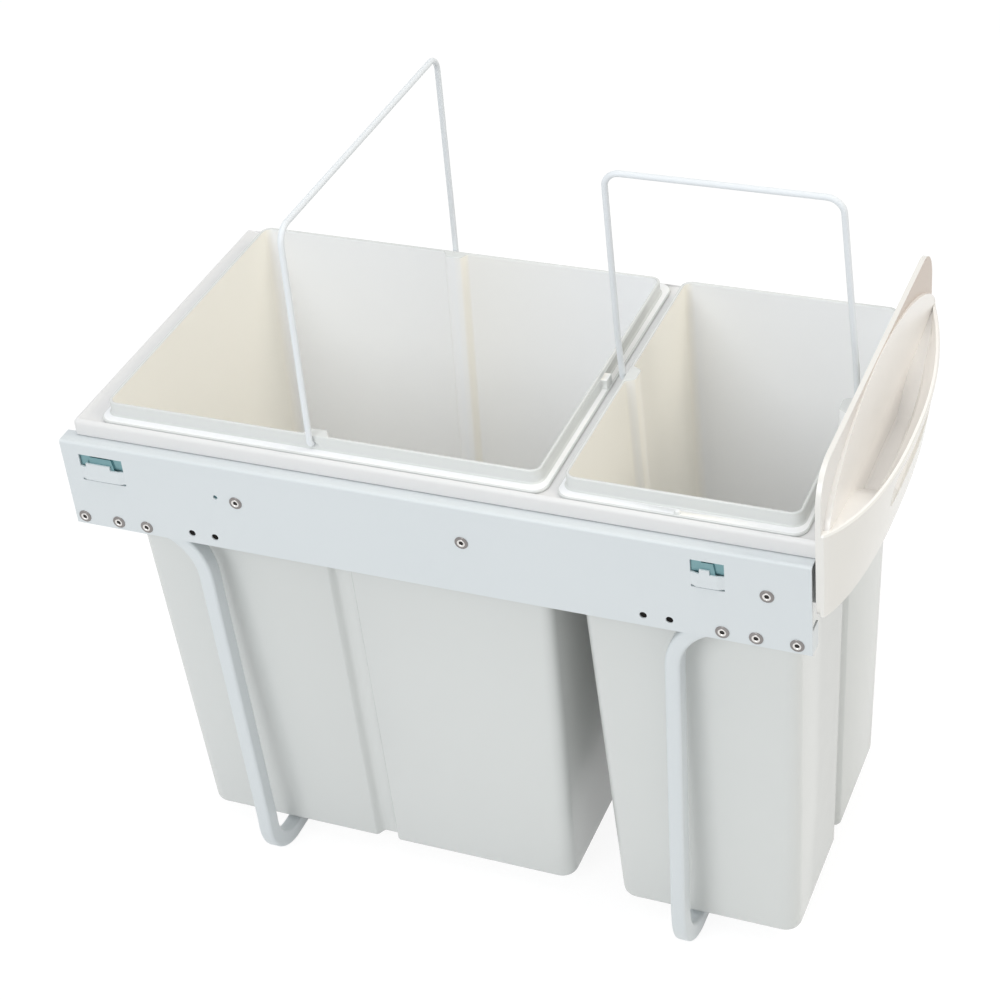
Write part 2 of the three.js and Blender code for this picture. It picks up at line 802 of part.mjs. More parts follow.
function handlePlateShape() {
  const [top, bottom] = [handleTop, -handleBottom];
  const outline = new THREE.Shape();
  outline.moveTo(-handleHalf + handleFootCorner, bottom);
  outline.lineTo(handleHalf - handleFootCorner, bottom);
  outline.absarc(handleHalf - handleFootCorner, bottom + handleFootCorner,
    handleFootCorner, -Math.PI / 2, 0);
  outline.absarc(handleHalf - handleCorner, top - handleCorner, handleCorner, 0, Math.PI / 2);
  outline.absarc(-handleHalf + handleCorner, top - handleCorner, handleCorner,
    Math.PI / 2, Math.PI);
  outline.absarc(-handleHalf + handleFootCorner, bottom + handleFootCorner,
    handleFootCorner, Math.PI, 1.5 * Math.PI);
  const plate = new THREE.ExtrudeGeometry(outline, {
    depth: handlePlate,
    bevelEnabled: false,
    curveSegments: 4,
  });
  return solid(plate.rotateX(Math.PI / 2).translate(0, -handleBack, 0));
}

// The back of the bowl stands up the plate as a low arch.
function handleArch() {
  const half = handleHalf - 5;
  const steps = 16;
  const crown = Array.from({ length: steps + 1 }, (_, i) => {
    const x = half * Math.cos((Math.PI * i) / steps);
    const rise = archRise * Math.max(0, 1 - Math.abs(x / half) ** 2.2) ** 0.6;
    return new THREE.Vector2(x, bowRim + rise);
  });
  const base = bowRim - 10;
  const outline = new THREE.Shape([
    new THREE.Vector2(-half, base),
    new THREE.Vector2(half, base),
    ...crown,
  ]);
  const slab = new THREE.ExtrudeGeometry(outline, { depth: archWall + 0.5, bevelEnabled: false });
  return solid(slab.rotateX(Math.PI / 2).translate(0, -(handleFace - 0.5), 0));
}

function handle() {
  const back = handleFace - 0.5;
  const wellBack = handleFace + archWall;
  const bowl = loft([
    bowRing({ half: handleHalf - 1.5, back, height: -handleBottom + 1, inset: 1.5 }),
    bowRing({ half: handleHalf, back, height: -handleBottom + 3 }),
    bowRing({ half: handleHalf, back, height: bowRim - 1.2 }),
    bowRing({ half: handleHalf - 0.8, back, height: bowRim, inset: 1 }),
  ]);
  // Shallow floors slope down from both ends to a deep well in the middle.
  const well = loft([
    bowRing({ half: wellHalf - 3, back: wellBack + 3.5, height: -wellDepth, inset: 5 }),
    bowRing({ half: wellHalf - 1, back: wellBack + 2.5, height: -10, inset: 10 }),
    bowRing({ half: wellHalf, back: wellBack + 1.5, height: 10, inset: 10 }),
    bowRing({ half: handleHalf - 8, back: wellBack, height: bowRim - 1, inset: bowWall }),
    bowRing({ half: handleHalf - 7.5, back: wellBack, height: bowRim + 1, inset: bowWall - 1 }),
  ]);
  const gripRing = (height, depth) => {
    const steps = 12;
    const inner = Array.from({ length: steps + 1 }, (_, i) => {
      const x = gripHalf * (1 - (2 * i) / steps);
      const shape = depth * (1 - (x / gripHalf) ** 2) - 0.5;
      return new THREE.Vector3(x, -(bow(x, bowDepthAt(height)) - shape), height);
    });
    const outer = bowStart + bowDepth + 10;
    return [
      new THREE.Vector3(-gripHalf, -outer, height),
      new THREE.Vector3(gripHalf, -outer, height),
      ...inner,
    ];
  };
  const grip = loft([
    gripRing(-9, gripDepth - 3),
    gripRing(-7, gripDepth),
    gripRing(8, gripDepth),
    gripRing(13, gripDepth - 4),
  ]);
  const underside = loft([
    bowRing({ half: undersideHalf, back: wellBack, height: -handleBottom - 1, inset: bowWall }),
    bowRing({ half: undersideHalf, back: wellBack, height: -wellDepth - 3, inset: bowWall }),
  ]);
  const holes = [-1, 1].map((side) => {
    const length = handlePlate + archWall + 2;
    const hole = new THREE.CylinderGeometry(screwShank + holeClearance, screwShank + holeClearance,
      length + 1, roundSteps);
    return solid(hole.translate(
      side * handleScrew.across,
      -(handleBack - 1 + (length + 1) / 2),
      -handleScrew.drop,
    ));
  });
  return cut(join(handlePlateShape(), handleArch(), bowl), well, grip, underside, ...holes);
}

function handleScrewShape(side) {
  const headFace = carrierFront - carrierWall - 0.1;
  const tip = headFace + carrierWall + handleSetting + handlePlate + 3;
  const profile = [
    [0, headFace - screwHead.height],
    [screwHead.radius * 0.7, headFace - screwHead.height],
    [screwHead.radius, headFace],
    [screwShank, headFace],
    [screwShank, tip],
    [0, tip],
  ].map(([radius, distance]) => new THREE.Vector2(radius, -distance));
  const turned = new THREE.LatheGeometry(profile.reverse(), roundSteps);
  return solid(turned.translate(side * handleScrew.across, 0, -handleScrew.drop));
}

// ---- assembly ----

const unit = new THREE.Group();

// Each side holds the same pieces. The right side is the left one mirrored.
for (const [side, mirror] of [['left', 1], ['right', -1]]) {
  const group = new THREE.Group();
  group.scale.x = mirror;
  unit.add(group);
  addPiece(group, `side_plate_${side}`, sidePlate(), paintedSteel);
  addPiece(group, `slide_outer_${side}`, slideOuter(), zincSteel);
  addPiece(group, `slide_middle_${side}`, slideCentre(), zincSteel);
  addPiece(group, `slide_inner_${side}`, slideInner(), zincSteel);
  addPiece(group, `ball_cage_outer_${side}`, ballCage(sheet + cageGap + cageSheet / 2, outerRace),
    zincSteel);
  addPiece(group, `ball_cage_inner_${side}`,
    ballCage(middleWeb + sheet + cageGap + cageSheet / 2, innerRace), zincSteel);
  slideRivets.forEach((distance, i) => {
    const shape = rivet(distance, -slideMiddle, -slideOutside + sheet);
    addPiece(group, `slide_rivet_${side}_${i + 1}`, shape, rivetSteel);
  });
  for (const [end, row] of Object.entries(barRivets)) {
    row.forEach((distance, i) => {
      const shape = rivet(distance, -barRow, -slideOutside + barWall + 1.8, rivetTail);
      addPiece(group, `bar_rivet_${end}_${side}_${i + 1}`, shape, rivetSteel);
    });
  }
  slideScrews.forEach((distance, i) => {
    addPiece(group, `slide_screw_${side}_${i + 1}`, slideScrew(distance), rivetSteel);
  });
}

addPiece(unit, 'support_bar_rear', supportBar(0, 1), paintedSteel);
addPiece(unit, 'support_bar_front', supportBar(plateLength, -1), paintedSteel);
addPiece(unit, 'carrier', carrier(), carrierPlastic);
addPiece(unit, 'handle', handle(), handlePlastic);
addPiece(unit, 'handle_screw_left', handleScrewShape(-1), rivetSteel);
addPiece(unit, 'handle_screw_right', handleScrewShape(1), rivetSteel);
addPiece(unit, 'large_bin', largeBinShape(), binPlastic);
addPiece(unit, 'small_bin', smallBinShape(), binPlastic);

// The large bail turns about a line across the unit, the small one about a line along it.
const large = addPiece(unit, 'large_bail', bail(rimHalf, largeBail), coatedWire);
large.rotation.x = THREE.MathUtils.degToRad(largeBail.tilt);
large.position.set(0, -(largeBin.rear + largeBin.front) / 2 - largeBail.offset, pivotHeight);
const smallHalf = (smallBin.front - smallBin.rear) / 2;
const small = addPiece(unit, 'small_bail', bail(smallHalf, smallBail), coatedWire);
small.rotation.set(0, THREE.MathUtils.degToRad(smallBail.tilt), Math.PI / 2, 'YZX');
small.position.set(0, -(smallBin.rear + smallBin.front) / 2, pivotHeight);

// The origin is on the cupboard floor under the middle of the whole unit.
unit.position.set(0, (bowStart + bowDepth) / 2, standHeight);

export default unit;
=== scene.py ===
import math

import bmesh
import bpy
from mathutils import Matrix, Quaternion, Vector


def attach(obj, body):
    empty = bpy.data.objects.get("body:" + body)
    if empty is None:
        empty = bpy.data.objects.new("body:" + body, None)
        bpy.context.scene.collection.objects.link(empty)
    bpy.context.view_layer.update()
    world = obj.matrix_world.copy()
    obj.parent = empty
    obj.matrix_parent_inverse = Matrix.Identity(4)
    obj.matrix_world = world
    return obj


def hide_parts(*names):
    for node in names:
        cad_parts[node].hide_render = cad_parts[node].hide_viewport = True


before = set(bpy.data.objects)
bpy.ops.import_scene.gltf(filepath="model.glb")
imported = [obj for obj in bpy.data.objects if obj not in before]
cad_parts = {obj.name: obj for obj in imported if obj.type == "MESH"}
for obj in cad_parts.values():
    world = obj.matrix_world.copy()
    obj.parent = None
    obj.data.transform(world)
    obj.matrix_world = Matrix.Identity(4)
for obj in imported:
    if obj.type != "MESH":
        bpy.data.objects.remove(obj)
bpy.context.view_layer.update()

# ---- camera ----
# A long lens looks down on the unit from the front left, from well above the bins' rims.
# Its frame is square.
look_right = Vector((0.37235, -0.92385, -0.08862))
look_down = Vector((-0.57548, -0.15492, -0.80301))
look_along = Vector((0.72813, 0.35, -0.58934))
camera_place = Vector((-1.1001, -0.50795, 1.1418))
sensor_width = 36
focal_length = 84.31

camera = bpy.data.objects.new("camera", bpy.data.cameras.new("camera"))
camera.data.sensor_width = sensor_width
camera.data.lens = focal_length
camera.matrix_world = Matrix((
    (look_right.x, -look_down.x, -look_along.x, camera_place.x),
    (look_right.y, -look_down.y, -look_along.y, camera_place.y),
    (look_right.z, -look_down.z, -look_along.z, camera_place.z),
    (0, 0, 0, 1),
))
bpy.context.scene.collection.objects.link(camera)
bpy.context.scene.camera = camera

# ---- studio ----
# A plain white floor and white surroundings, under one broad lamp overhead and two soft ones at
# the sides. The floor shows white and keeps a faint shadow of the unit.
bpy.context.scene.view_settings.view_transform = "Standard"
floor_size, floor_drop = 12.0, 0.0005
floor_tone = (0.86, 0.86, 0.86, 1)
floor_glow = 0.9
floor_shade = 0.16
ambient_tone = (0.97, 0.985, 1.0, 1)
ambient_level = 0.56
lamps = [
    # name, place, what it points at, size, power, colour
    ("overhead_lamp", (-0.3, -0.1, 2.4), (0, 0, 0.2), 1.4, 10, (1.0, 1.0, 1.0)),
    ("left_lamp", (-2.1, 0.4, 1.6), (0, 0, 0.2), 1.2, 19, (0.95, 0.98, 1.0)),
    ("front_lamp", (0.4, -1.9, 2.0), (0, 0, 0.2), 1.2, 17, (1.0, 0.94, 0.82)),
]


def new_nodes(owner):
    """The empty node tree of a material or world, with its output node."""
    owner.use_nodes = True
    tree = owner.node_tree
    tree.nodes.clear()
    kind = "World" if isinstance(owner, bpy.types.World) else "Material"
    return tree, tree.nodes.new("ShaderNodeOutput" + kind)


def seen_rays(tree):
    """A mask of the rays that show the background: the camera's, glossy and transmitted ones."""
    path = tree.nodes.new("ShaderNodeLightPath")
    mask = path.outputs["Is Camera Ray"]
    for other in ("Is Glossy Ray", "Is Transmission Ray"):
        both = tree.nodes.new("ShaderNodeMath")
        both.operation = "MAXIMUM"
        tree.links.new(mask, both.inputs[0])
        tree.links.new(path.outputs[other], both.inputs[1])
        mask = both.outputs[0]
    return mask


world = bpy.data.worlds.new("surroundings")
bpy.context.scene.world = world
tree, output = new_nodes(world)
ambient = tree.nodes.new("ShaderNodeBackground")
ambient.inputs["Color"].default_value = ambient_tone
ambient.inputs["Strength"].default_value = ambient_level
white = tree.nodes.new("ShaderNodeBackground")
white.inputs["Color"].default_value = (1, 1, 1, 1)
shown = tree.nodes.new("ShaderNodeMixShader")
tree.links.new(seen_rays(tree), shown.inputs[0])
tree.links.new(ambient.outputs[0], shown.inputs[1])
tree.links.new(white.outputs[0], shown.inputs[2])
tree.links.new(shown.outputs[0], output.inputs["Surface"])

floor_paper = bpy.data.materials.new("floor_paper")
tree, output = new_nodes(floor_paper)
matte = tree.nodes.new("ShaderNodeBsdfDiffuse")
matte.inputs["Color"].default_value = floor_tone
glow = tree.nodes.new("ShaderNodeEmission")
glow.inputs["Strength"].default_value = floor_glow
dim = tree.nodes.new("ShaderNodeBsdfDiffuse")
dim.inputs["Color"].default_value = (floor_shade, floor_shade, floor_shade, 1)
lit = tree.nodes.new("ShaderNodeAddShader")
shown = tree.nodes.new("ShaderNodeMixShader")
tree.links.new(glow.outputs[0], lit.inputs[0])
tree.links.new(dim.outputs[0], lit.inputs[1])
tree.links.new(seen_rays(tree), shown.inputs[0])
tree.links.new(matte.outputs[0], shown.inputs[1])
tree.links.new(lit.outputs[0], shown.inputs[2])
tree.links.new(shown.outputs[0], output.inputs["Surface"])

floor_mesh = bpy.data.meshes.new("floor")
half_floor = floor_size / 2
floor_mesh.from_pydata(
    [(x, y, -floor_drop) for x, y in ((-half_floor, -half_floor), (half_floor, -half_floor),
                                      (half_floor, half_floor), (-half_floor, half_floor))],
    [], [(0, 1, 2, 3)])
floor_mesh.materials.append(floor_paper)
floor = bpy.data.objects.new("floor", floor_mesh)
bpy.context.scene.collection.objects.link(floor)

for name, place_at, target, size, power, colour in lamps:
    lamp = bpy.data.objects.new(name, bpy.data.lights.new(name, "AREA"))
    lamp.data.shape = "DISK"
    lamp.data.size = size
    lamp.data.energy = power
    lamp.data.color = colour
    lamp.location = place_at
    facing = Vector(target) - lamp.location
    lamp.rotation_euler = facing.to_track_quat("-Z", "Y").to_euler()
    bpy.context.scene.collection.objects.link(lamp)

# ---- side plates ----
# Two pressed plates of 1.2 mm steel, powder coated in a cool white. Each has a flange turned in
# along its top and two windows with a lanced bridge across their lower half.
plate_rear = 255.25      # of the plates' rear ends, in the row frame, in mm
plate_top = 344.0        # height of the plates' tops
unit_half = 128.0
plate_length = 478.8
plate_height = 63.0
sheet = 1.2
plate_flange = 12.0
bend_radius = 1.4
window_top, window_bottom = -8.5, -27.7
bridge_top, nub_top = -17.2, -14.2
bridge_flank = 4.0
bridge_step = 0.2        # how far a bridge's inner face clears the plate's outer one
bridge_gap, bridge_lean = 1.5, 0.55     # slot under a bridge; how far its top leans back
bridge_root, bridge_start = 1.5, 0.7    # where its ends lie in the plate and where they rise
bridge_bend = 0.8
cut_outside, cut_inside = 1.0, 0.5      # how far the cuts reach past the plate
tab_height = 16.7
plate_edge = 0.28
windows = [
    {"start": 12.0, "length": 30.5, "nub": (4.5, 17.0)},
    {"start": 408.5, "length": 20.0, "nub": (5.5, 6.0)},
]
slide_rivets = (119.0, 268.0, 453.0)
rear_rivets = (6.5, 31.0, 51.0)
front_rivets = (470.0, 446.0, 426.0)
slide_row, rivet_row = -25.5, -57.3
rivet_bore = 2.15
spare_holes = [(83.5, -55.5, 2.3), (99.5, -55.5, 2.3), (394.5, -55.5, 2.3), (378.5, -55.5, 2.3),
               (105.3, -23.9, 1.5)]
# Painted shade: the larger spare holes have a black disc just behind the plate, for the shade in
# the gap behind it.
backed_above = 2.0       # holes of a larger radius than this have a dark backing
backing_thickness, backing_spare = 0.35, 0.15
coat_tone = (0.69, 0.73, 0.745, 1)
coat_light = (0.715, 0.75, 0.765, 1)
hole_shade_tone = (0.012, 0.011, 0.01, 1)


def place(x, distance, height):
    """A point from mm across, mm in front of the plates' rear ends and mm above their tops."""
    return Vector((x, plate_rear - distance, plate_top + height)) * 0.001


def closed_mesh(name, points, faces, smooth=32):
    """A mesh in the row frame whose faces all point out, smooth up to an angle in degrees."""
    mesh = bpy.data.meshes.new(name)
    mesh.from_pydata([place(*p) for p in points], [], faces)
    shell = bmesh.new()
    shell.from_mesh(mesh)
    bmesh.ops.remove_doubles(shell, verts=shell.verts, dist=1e-6)
    bmesh.ops.recalc_face_normals(shell, faces=shell.faces)
    shell.to_mesh(mesh)
    shell.free()
    mesh.shade_smooth()
    mesh.set_sharp_from_angle(angle=math.radians(smooth))
    return mesh


def shaped(name, points, faces, smooth=32):
    """An object with such a mesh."""
    made = bpy.data.objects.new(name, closed_mesh(name, points, faces, smooth))
    bpy.context.scene.collection.objects.link(made)
    return made


def loft(rings):
    """Points and faces of a body through equal rings of points, closed at both ends."""
    count = len(rings[0])
    faces = []
    for level in range(len(rings) - 1):
        low, high = level * count, (level + 1) * count
        for i in range(count):
            j = (i + 1) % count
            faces.append((low + i, low + j, high + j, high + i))
    last = (len(rings) - 1) * count
    faces.append(tuple(reversed(range(count))))
    faces.append(tuple(range(last, last + count)))
    return [point for ring in rings for point in ring], faces


def bent_run(corners, radii, steps, up, side):
    """Stations (point, up, side) along a run of straight lengths joined by round bends."""
    corners = [Vector(c) for c in corners]
    stations = [(corners[0].copy(), Vector(up), Vector(side))]
    for i in range(1, len(corners) - 1):
        before = (corners[i] - corners[i - 1]).normalized()
        after = (corners[i + 1] - corners[i]).normalized()
        turn = before.angle(after)
        axis = before.cross(after).normalized()
        radius = radii[i - 1]
        start = corners[i] - before * (radius * math.tan(turn / 2))
        centre = start + axis.cross(before) * radius
        _, first_up, first_side = stations[-1]
        for step in range(steps + 1):
            part = Quaternion(axis, turn * step / steps)
            stations.append((centre + part @ (start - centre), part @ first_up, part @ first_side))
    stations.append((corners[-1].copy(), *stations[-1][1:]))
    return stations


def sheet_outline(corners, thickness, radius=bend_radius, steps=6):
    """The flat outline of a bent sheet whose middle line runs through the corner points."""
    flat = [Vector((a, b, 0)) for a, b in corners]
    along = (flat[1] - flat[0]).normalized()
    across = Vector((-along.y, along.x, 0))
    stations = bent_run(flat, [radius] * len(flat), steps, across, (0, 0, 1))
    left = [(at + up * (thickness / 2)) for at, up, _ in stations]
    right = [(at - up * (thickness / 2)) for at, up, _ in stations]
    return [(p.x, p.y) for p in left + right[::-1]]


def block(name, across, distances, heights):
    """A square block."""
    (x0, x1), (u0, u1), (h0, h1) = across, distances, heights
    rings = [[(x0, u0, h), (x1, u0, h), (x1, u1, h), (x0, u1, h)] for h in (h0, h1)]
    return shaped(name, *loft(rings))


def round_bar(name, radius, start, end, sides=32):
    """A round bar between two points, used for holes."""
    start, end = Vector(start), Vector(end)
    along = (end - start).normalized()
    up = Vector((0, 0, 1)) if abs(along.z) < 0.5 else Vector((1, 0, 0))
    side = along.cross(up).normalized()
    up = side.cross(along)
    angles = [2 * math.pi * i / sides for i in range(sides)]
    rings = [[tuple(at + up * (radius * math.sin(a)) + side * (radius * math.cos(a)))
              for a in angles] for at in (start, end)]
    return shaped(name, *loft(rings))


def settled(made):
    """Puts an object's modifiers into its mesh."""
    graph = bpy.context.evaluated_depsgraph_get()
    mesh = bpy.data.meshes.new_from_object(made.evaluated_get(graph))
    made.modifiers.clear()
    made.data = mesh
    return made


def worked(body, others, operation="DIFFERENCE"):
    """Cuts the other objects out of the body, or joins them to it, and removes them."""
    for other in others:
        step = body.modifiers.new(other.name, "BOOLEAN")
        step.operation = operation
        step.solver = "EXACT"
        step.object = other
    settled(body)
    for other in others:
        bpy.data.objects.remove(other)
    return body


def eased(body, width, segments=2, angle=40, smooth=32):
    """Rounds the body's sharp edges by a width in mm."""
    step = body.modifiers.new("ease", "BEVEL")
    step.width = width * 0.001
    step.segments = segments
    step.limit_method = "ANGLE"
    step.angle_limit = math.radians(angle)
    step.use_clamp_overlap = True
    settled(body)
    body.data.shade_smooth()
    body.data.set_sharp_from_angle(angle=math.radians(smooth))
    even = body.modifiers.new("even", "WEIGHTED_NORMAL")
    even.keep_sharp = True
    return settled(body)


def effect(name, inputs, outputs):
    """A new shader node group with named sockets. Returns it with its two end nodes."""
    group = bpy.data.node_groups.new(name, "ShaderNodeTree")
    kinds = {"colour": "NodeSocketColor", "value": "NodeSocketFloat"}
    for way, sockets in (("INPUT", inputs), ("OUTPUT", outputs)):
        for socket, kind in sockets:
            group.interface.new_socket(name=socket, in_out=way, socket_type=kinds[kind])
    return group, group.nodes.new("NodeGroupInput"), group.nodes.new("NodeGroupOutput")


def noise(group, points, scale, detail=2.0, rough=0.5):
    """A noise texture node fed with points."""
    made = group.nodes.new("ShaderNodeTexNoise")
    made.inputs["Detail"].default_value = detail
    made.inputs["Roughness"].default_value = rough
    if isinstance(scale, (int, float)):
        made.inputs["Scale"].default_value = scale
    else:
        group.links.new(scale, made.inputs["Scale"])
    group.links.new(points, made.inputs["Vector"])
    return made


def ranged(group, value, low, high):
    """A value from 0 to 1 spread from low to high, where these are numbers or sockets."""
    made = group.nodes.new("ShaderNodeMapRange")
    group.links.new(value, made.inputs["Value"])
    for socket, end in (("To Min", low), ("To Max", high)):
        if isinstance(end, (int, float)):
            made.inputs[socket].default_value = end
        else:
            group.links.new(end, made.inputs[socket])
    return made.outputs[0]


def blended(tree, factor, first, second):
    """A colour that goes from first to second, where these are colours or sockets."""
    made = tree.nodes.new("ShaderNodeMix")
    made.data_type = "RGBA"
    tree.links.new(factor, made.inputs["Factor"])
    for socket, end in (("A", first), ("B", second)):
        if isinstance(end, tuple):
            made.inputs[socket].default_value = end
        else:
            tree.links.new(end, made.inputs[socket])
    return made.outputs["Result"]


# The skin of a coat or moulding: a fine ripple, slow changes of tone, and gloss that varies.
skin, given, result = effect(
    "skin",
    [("Colour", "colour"), ("Second Colour", "colour"), ("Scale", "value"),
     ("Gloss Low", "value"), ("Gloss High", "value")],
    [("Colour", "colour"), ("Roughness", "value"), ("Height", "value")])
cloud_scale, handled_scale, skin_relief = 9.0, 38.0, 0.00015
where = skin.nodes.new("ShaderNodeTexCoord").outputs["Object"]
ripple = noise(skin, where, given.outputs["Scale"], 2.0, 0.45)
cloud = noise(skin, where, cloud_scale, 3.0, 0.55)
handled = noise(skin, where, handled_scale, 4.0, 0.6)
tone = blended(skin, cloud.outputs["Fac"], given.outputs["Colour"], given.outputs["Second Colour"])
skin.links.new(tone, result.inputs["Colour"])
skin.links.new(
    ranged(skin, handled.outputs["Fac"], given.outputs["Gloss Low"], given.outputs["Gloss High"]),
    result.inputs["Roughness"])
skin.links.new(ripple.outputs["Fac"], result.inputs["Height"])


def dressed(name, group, colours, scale, gloss, bump, depth):
    """A material with a shared effect: two colours, a size, a range of roughness and a relief.

    Gives back the material and its shader.
    """
    material = bpy.data.materials.new(name)
    tree, output = new_nodes(material)
    surface = tree.nodes.new("ShaderNodeBsdfPrincipled")
    look = tree.nodes.new("ShaderNodeGroup")
    look.node_tree = group
    look.inputs["Colour"].default_value, look.inputs["Second Colour"].default_value = colours
    look.inputs["Scale"].default_value = scale
    look.inputs["Gloss Low"].default_value, look.inputs["Gloss High"].default_value = gloss
    if colours[0] == colours[1]:
        surface.inputs["Base Color"].default_value = colours[0]
    else:
        tree.links.new(look.outputs["Colour"], surface.inputs["Base Color"])
    tree.links.new(look.outputs["Roughness"], surface.inputs["Roughness"])
    if bump:
        raised = tree.nodes.new("ShaderNodeBump")
        raised.inputs["Strength"].default_value = bump
        raised.inputs["Distance"].default_value = depth
        tree.links.new(look.outputs["Height"], raised.inputs["Height"])
        tree.links.new(raised.outputs["Normal"], surface.inputs["Normal"])
    tree.links.new(surface.outputs[0], output.inputs["Surface"])
    return material, surface


def skinned(name, colours, scale, gloss, bump=0.0, specular=0.5):
    """A coated or moulded material with that skin."""
    material, surface = dressed(name, skin, colours, scale, gloss, bump, skin_relief)
    surface.inputs["Specular IOR Level"].default_value = specular
    return material


def fitted(made, material, slot_name, body, *nodes):
    """Gives a piece its material and its body, and lets it stand for CAD nodes."""
    made.data.materials.clear()
    for each in material if isinstance(material, list) else [material]:
        made.data.materials.append(each)
    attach(made, body)
    if nodes:
        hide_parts(*nodes)
    return made


powder_coat = skinned("powder_coat", (coat_tone, coat_light), 700.0, (0.36, 0.44), 0.12)
hole_shade = skinned("hole_shade", (hole_shade_tone, hole_shade_tone), 400.0, (0.7, 0.9), 0.1, 0.1)


def side_plate(name, side):
    """A plate with its flange, end tab, windows, bridges and holes; side is -1 for the left."""
    face = side * unit_half
    web = side * (unit_half - sheet / 2)
    raised = side * (unit_half + sheet / 2 + bridge_step)
    section = sheet_outline(
        [(web, -plate_height), (web, -sheet / 2), (face - side * plate_flange, -sheet / 2)], sheet)
    rings = [[(x, u, h) for x, h in section] for u in (0.0, plate_length)]
    plate = shaped(name, *loft(rings))
    tab = block("tab", sorted((face, face - side * plate_flange)),
                (plate_length - sheet, plate_length), (-plate_height, -plate_height + tab_height))
    worked(plate, [tab], "UNION")
    through = sorted((face + side * cut_outside, face - side * (sheet + cut_inside)))
    cutters = [block("window", through, (w["start"], w["start"] + w["length"]),
                     (window_bottom, window_top)) for w in windows]
    holes = [(u, slide_row, rivet_bore) for u in slide_rivets]
    holes += [(u, rivet_row, rivet_bore) for u in (*rear_rivets, *front_rivets)]
    for u, h, radius in holes + spare_holes:
        cutters.append(round_bar("hole", radius, (through[0], u, h), (through[1], u, h), 24))
    worked(plate, cutters)
    bridges = []
    for w in windows:
        start, end = w["start"], w["start"] + w["length"]
        rings = []
        for height, reach in ((window_bottom + bridge_gap, raised),
                              (bridge_top, raised - side * bridge_lean)):
            plan = sheet_outline(
                [(web, start - bridge_root), (web, start + bridge_start),
                 (reach, start + bridge_flank), (reach, end - bridge_flank),
                 (web, end - bridge_start), (web, end + bridge_root)], sheet, bridge_bend)
            rings.append([(x, u, height) for x, u in plan])
        strip = shaped("strip", *loft(rings))
        first, long = w["nub"]
        nub = block("nub", sorted((reach - sheet / 2, reach + sheet / 2)),
                    (start + first, start + first + long), (bridge_top - 1, nub_top))
        bridges.append(worked(strip, [nub], "UNION"))
    worked(plate, bridges, "UNION")
    return eased(plate, plate_edge)


for side, word in ((-1, "left"), (1, "right")):
    plate = side_plate(f"plate_{word}", side)
    fitted(plate, powder_coat, "painted_steel", "side_frame", f"side_plate_{word}")
    inner = side * (unit_half - sheet)
    outer = inner + side * backing_thickness
    # Black discs behind the larger spare holes: painted shade.
    backs = [round_bar("back", radius + backing_spare, (outer, u, h), (inner, u, h), 24)
             for u, h, radius in spare_holes if radius > backed_above]
    backing = worked(backs[0], backs[1:], "UNION")
    backing.name = f"hole_shade_discs_{word}"
    fitted(backing, hole_shade, "painted_steel", "side_frame")

# ---- rivets ----
# Steel pop rivets hold the slides and the support tubes to the plates. Each is a low dome round
# the hole that its mandrel broke off in.
rivet_profile = [  # radius, height out from the plate
    (0.0, -3.0), (1.9, -3.0), (1.9, 0.0), (4.1, 0.0), (4.25, 0.12), (4.2, 0.35), (3.9, 0.55),
    (3.5, 0.62), (3.1, 0.5), (2.8, 0.55), (2.5, 0.85), (2.1, 0.98), (1.7, 0.9), (1.35, 0.55),
    (1.2, 0.05)]
mandrel_profile = [(1.2, 0.05), (1.05, 0.0), (0.75, 0.25), (0.3, 0.36), (0.0, 0.34)]
# Painted light and shade on the rivets: the steel round the outside of each head is dark for the
# shade there, the collar is a light painted highlight, and the mandrel is near black for the shade
# in the hole.
rivet_shade_tone = (0.2, 0.18, 0.17, 1)
rivet_shade_second = (0.36, 0.35, 0.35, 1)
collar_highlight_tone = (0.78, 0.76, 0.74, 1)
mandrel_shade_tone = (0.03, 0.026, 0.024, 1)
collar_reach, hole_reach = 2.6, 1.32     # radii inside which the collar and the hole show
rivet_sunk = 1.0         # how far behind the plate's face that still counts

# Rolled or plated metal: fine scratches one way and cloudy patches.
metal, given, result = effect(
    "metal",
    [("Colour", "colour"), ("Second Colour", "colour"), ("Scale", "value"),
     ("Gloss Low", "value"), ("Gloss High", "value")],
    [("Colour", "colour"), ("Roughness", "value"), ("Height", "value")])
patch_scale, metal_relief = 60.0, 0.0001
drawn_out = (1.0, 0.06, 1.0)
where = metal.nodes.new("ShaderNodeTexCoord").outputs["Object"]
drawn = metal.nodes.new("ShaderNodeMapping")
drawn.inputs["Scale"].default_value = drawn_out
metal.links.new(where, drawn.inputs["Vector"])
scratch = noise(metal, drawn.outputs["Vector"], given.outputs["Scale"], 4.0, 0.6)
patch = noise(metal, where, patch_scale, 4.0, 0.6)
tone = blended(metal, patch.outputs["Fac"], given.outputs["Colour"],
               given.outputs["Second Colour"])
metal.links.new(tone, result.inputs["Colour"])
metal.links.new(
    ranged(metal, scratch.outputs["Fac"], given.outputs["Gloss Low"], given.outputs["Gloss High"]),
    result.inputs["Roughness"])
metal.links.new(scratch.outputs["Fac"], result.inputs["Height"])


def metallic(name, colours, scale, gloss, bump, metalness=1.0):
    """A metal material with those scratches and patches."""
    material, surface = dressed(name, metal, colours, scale, gloss, bump, metal_relief)
    surface.inputs["Metallic"].default_value = metalness
    return material


# The dark steel is painted shade round the rivet heads; the screws share it.
rivet_steel = metallic("rivet_steel", (rivet_shade_tone, rivet_shade_second), 900.0, (0.22, 0.42), 0.2)
collar_highlight = metallic("collar_highlight", (collar_highlight_tone, collar_highlight_tone), 900.0, (0.2, 0.35), 0.2)
mandrel_shade = metallic("mandrel_shade", (mandrel_shade_tone, mandrel_shade_tone), 900.0, (0.5, 0.8), 0.3,
                         0.4)


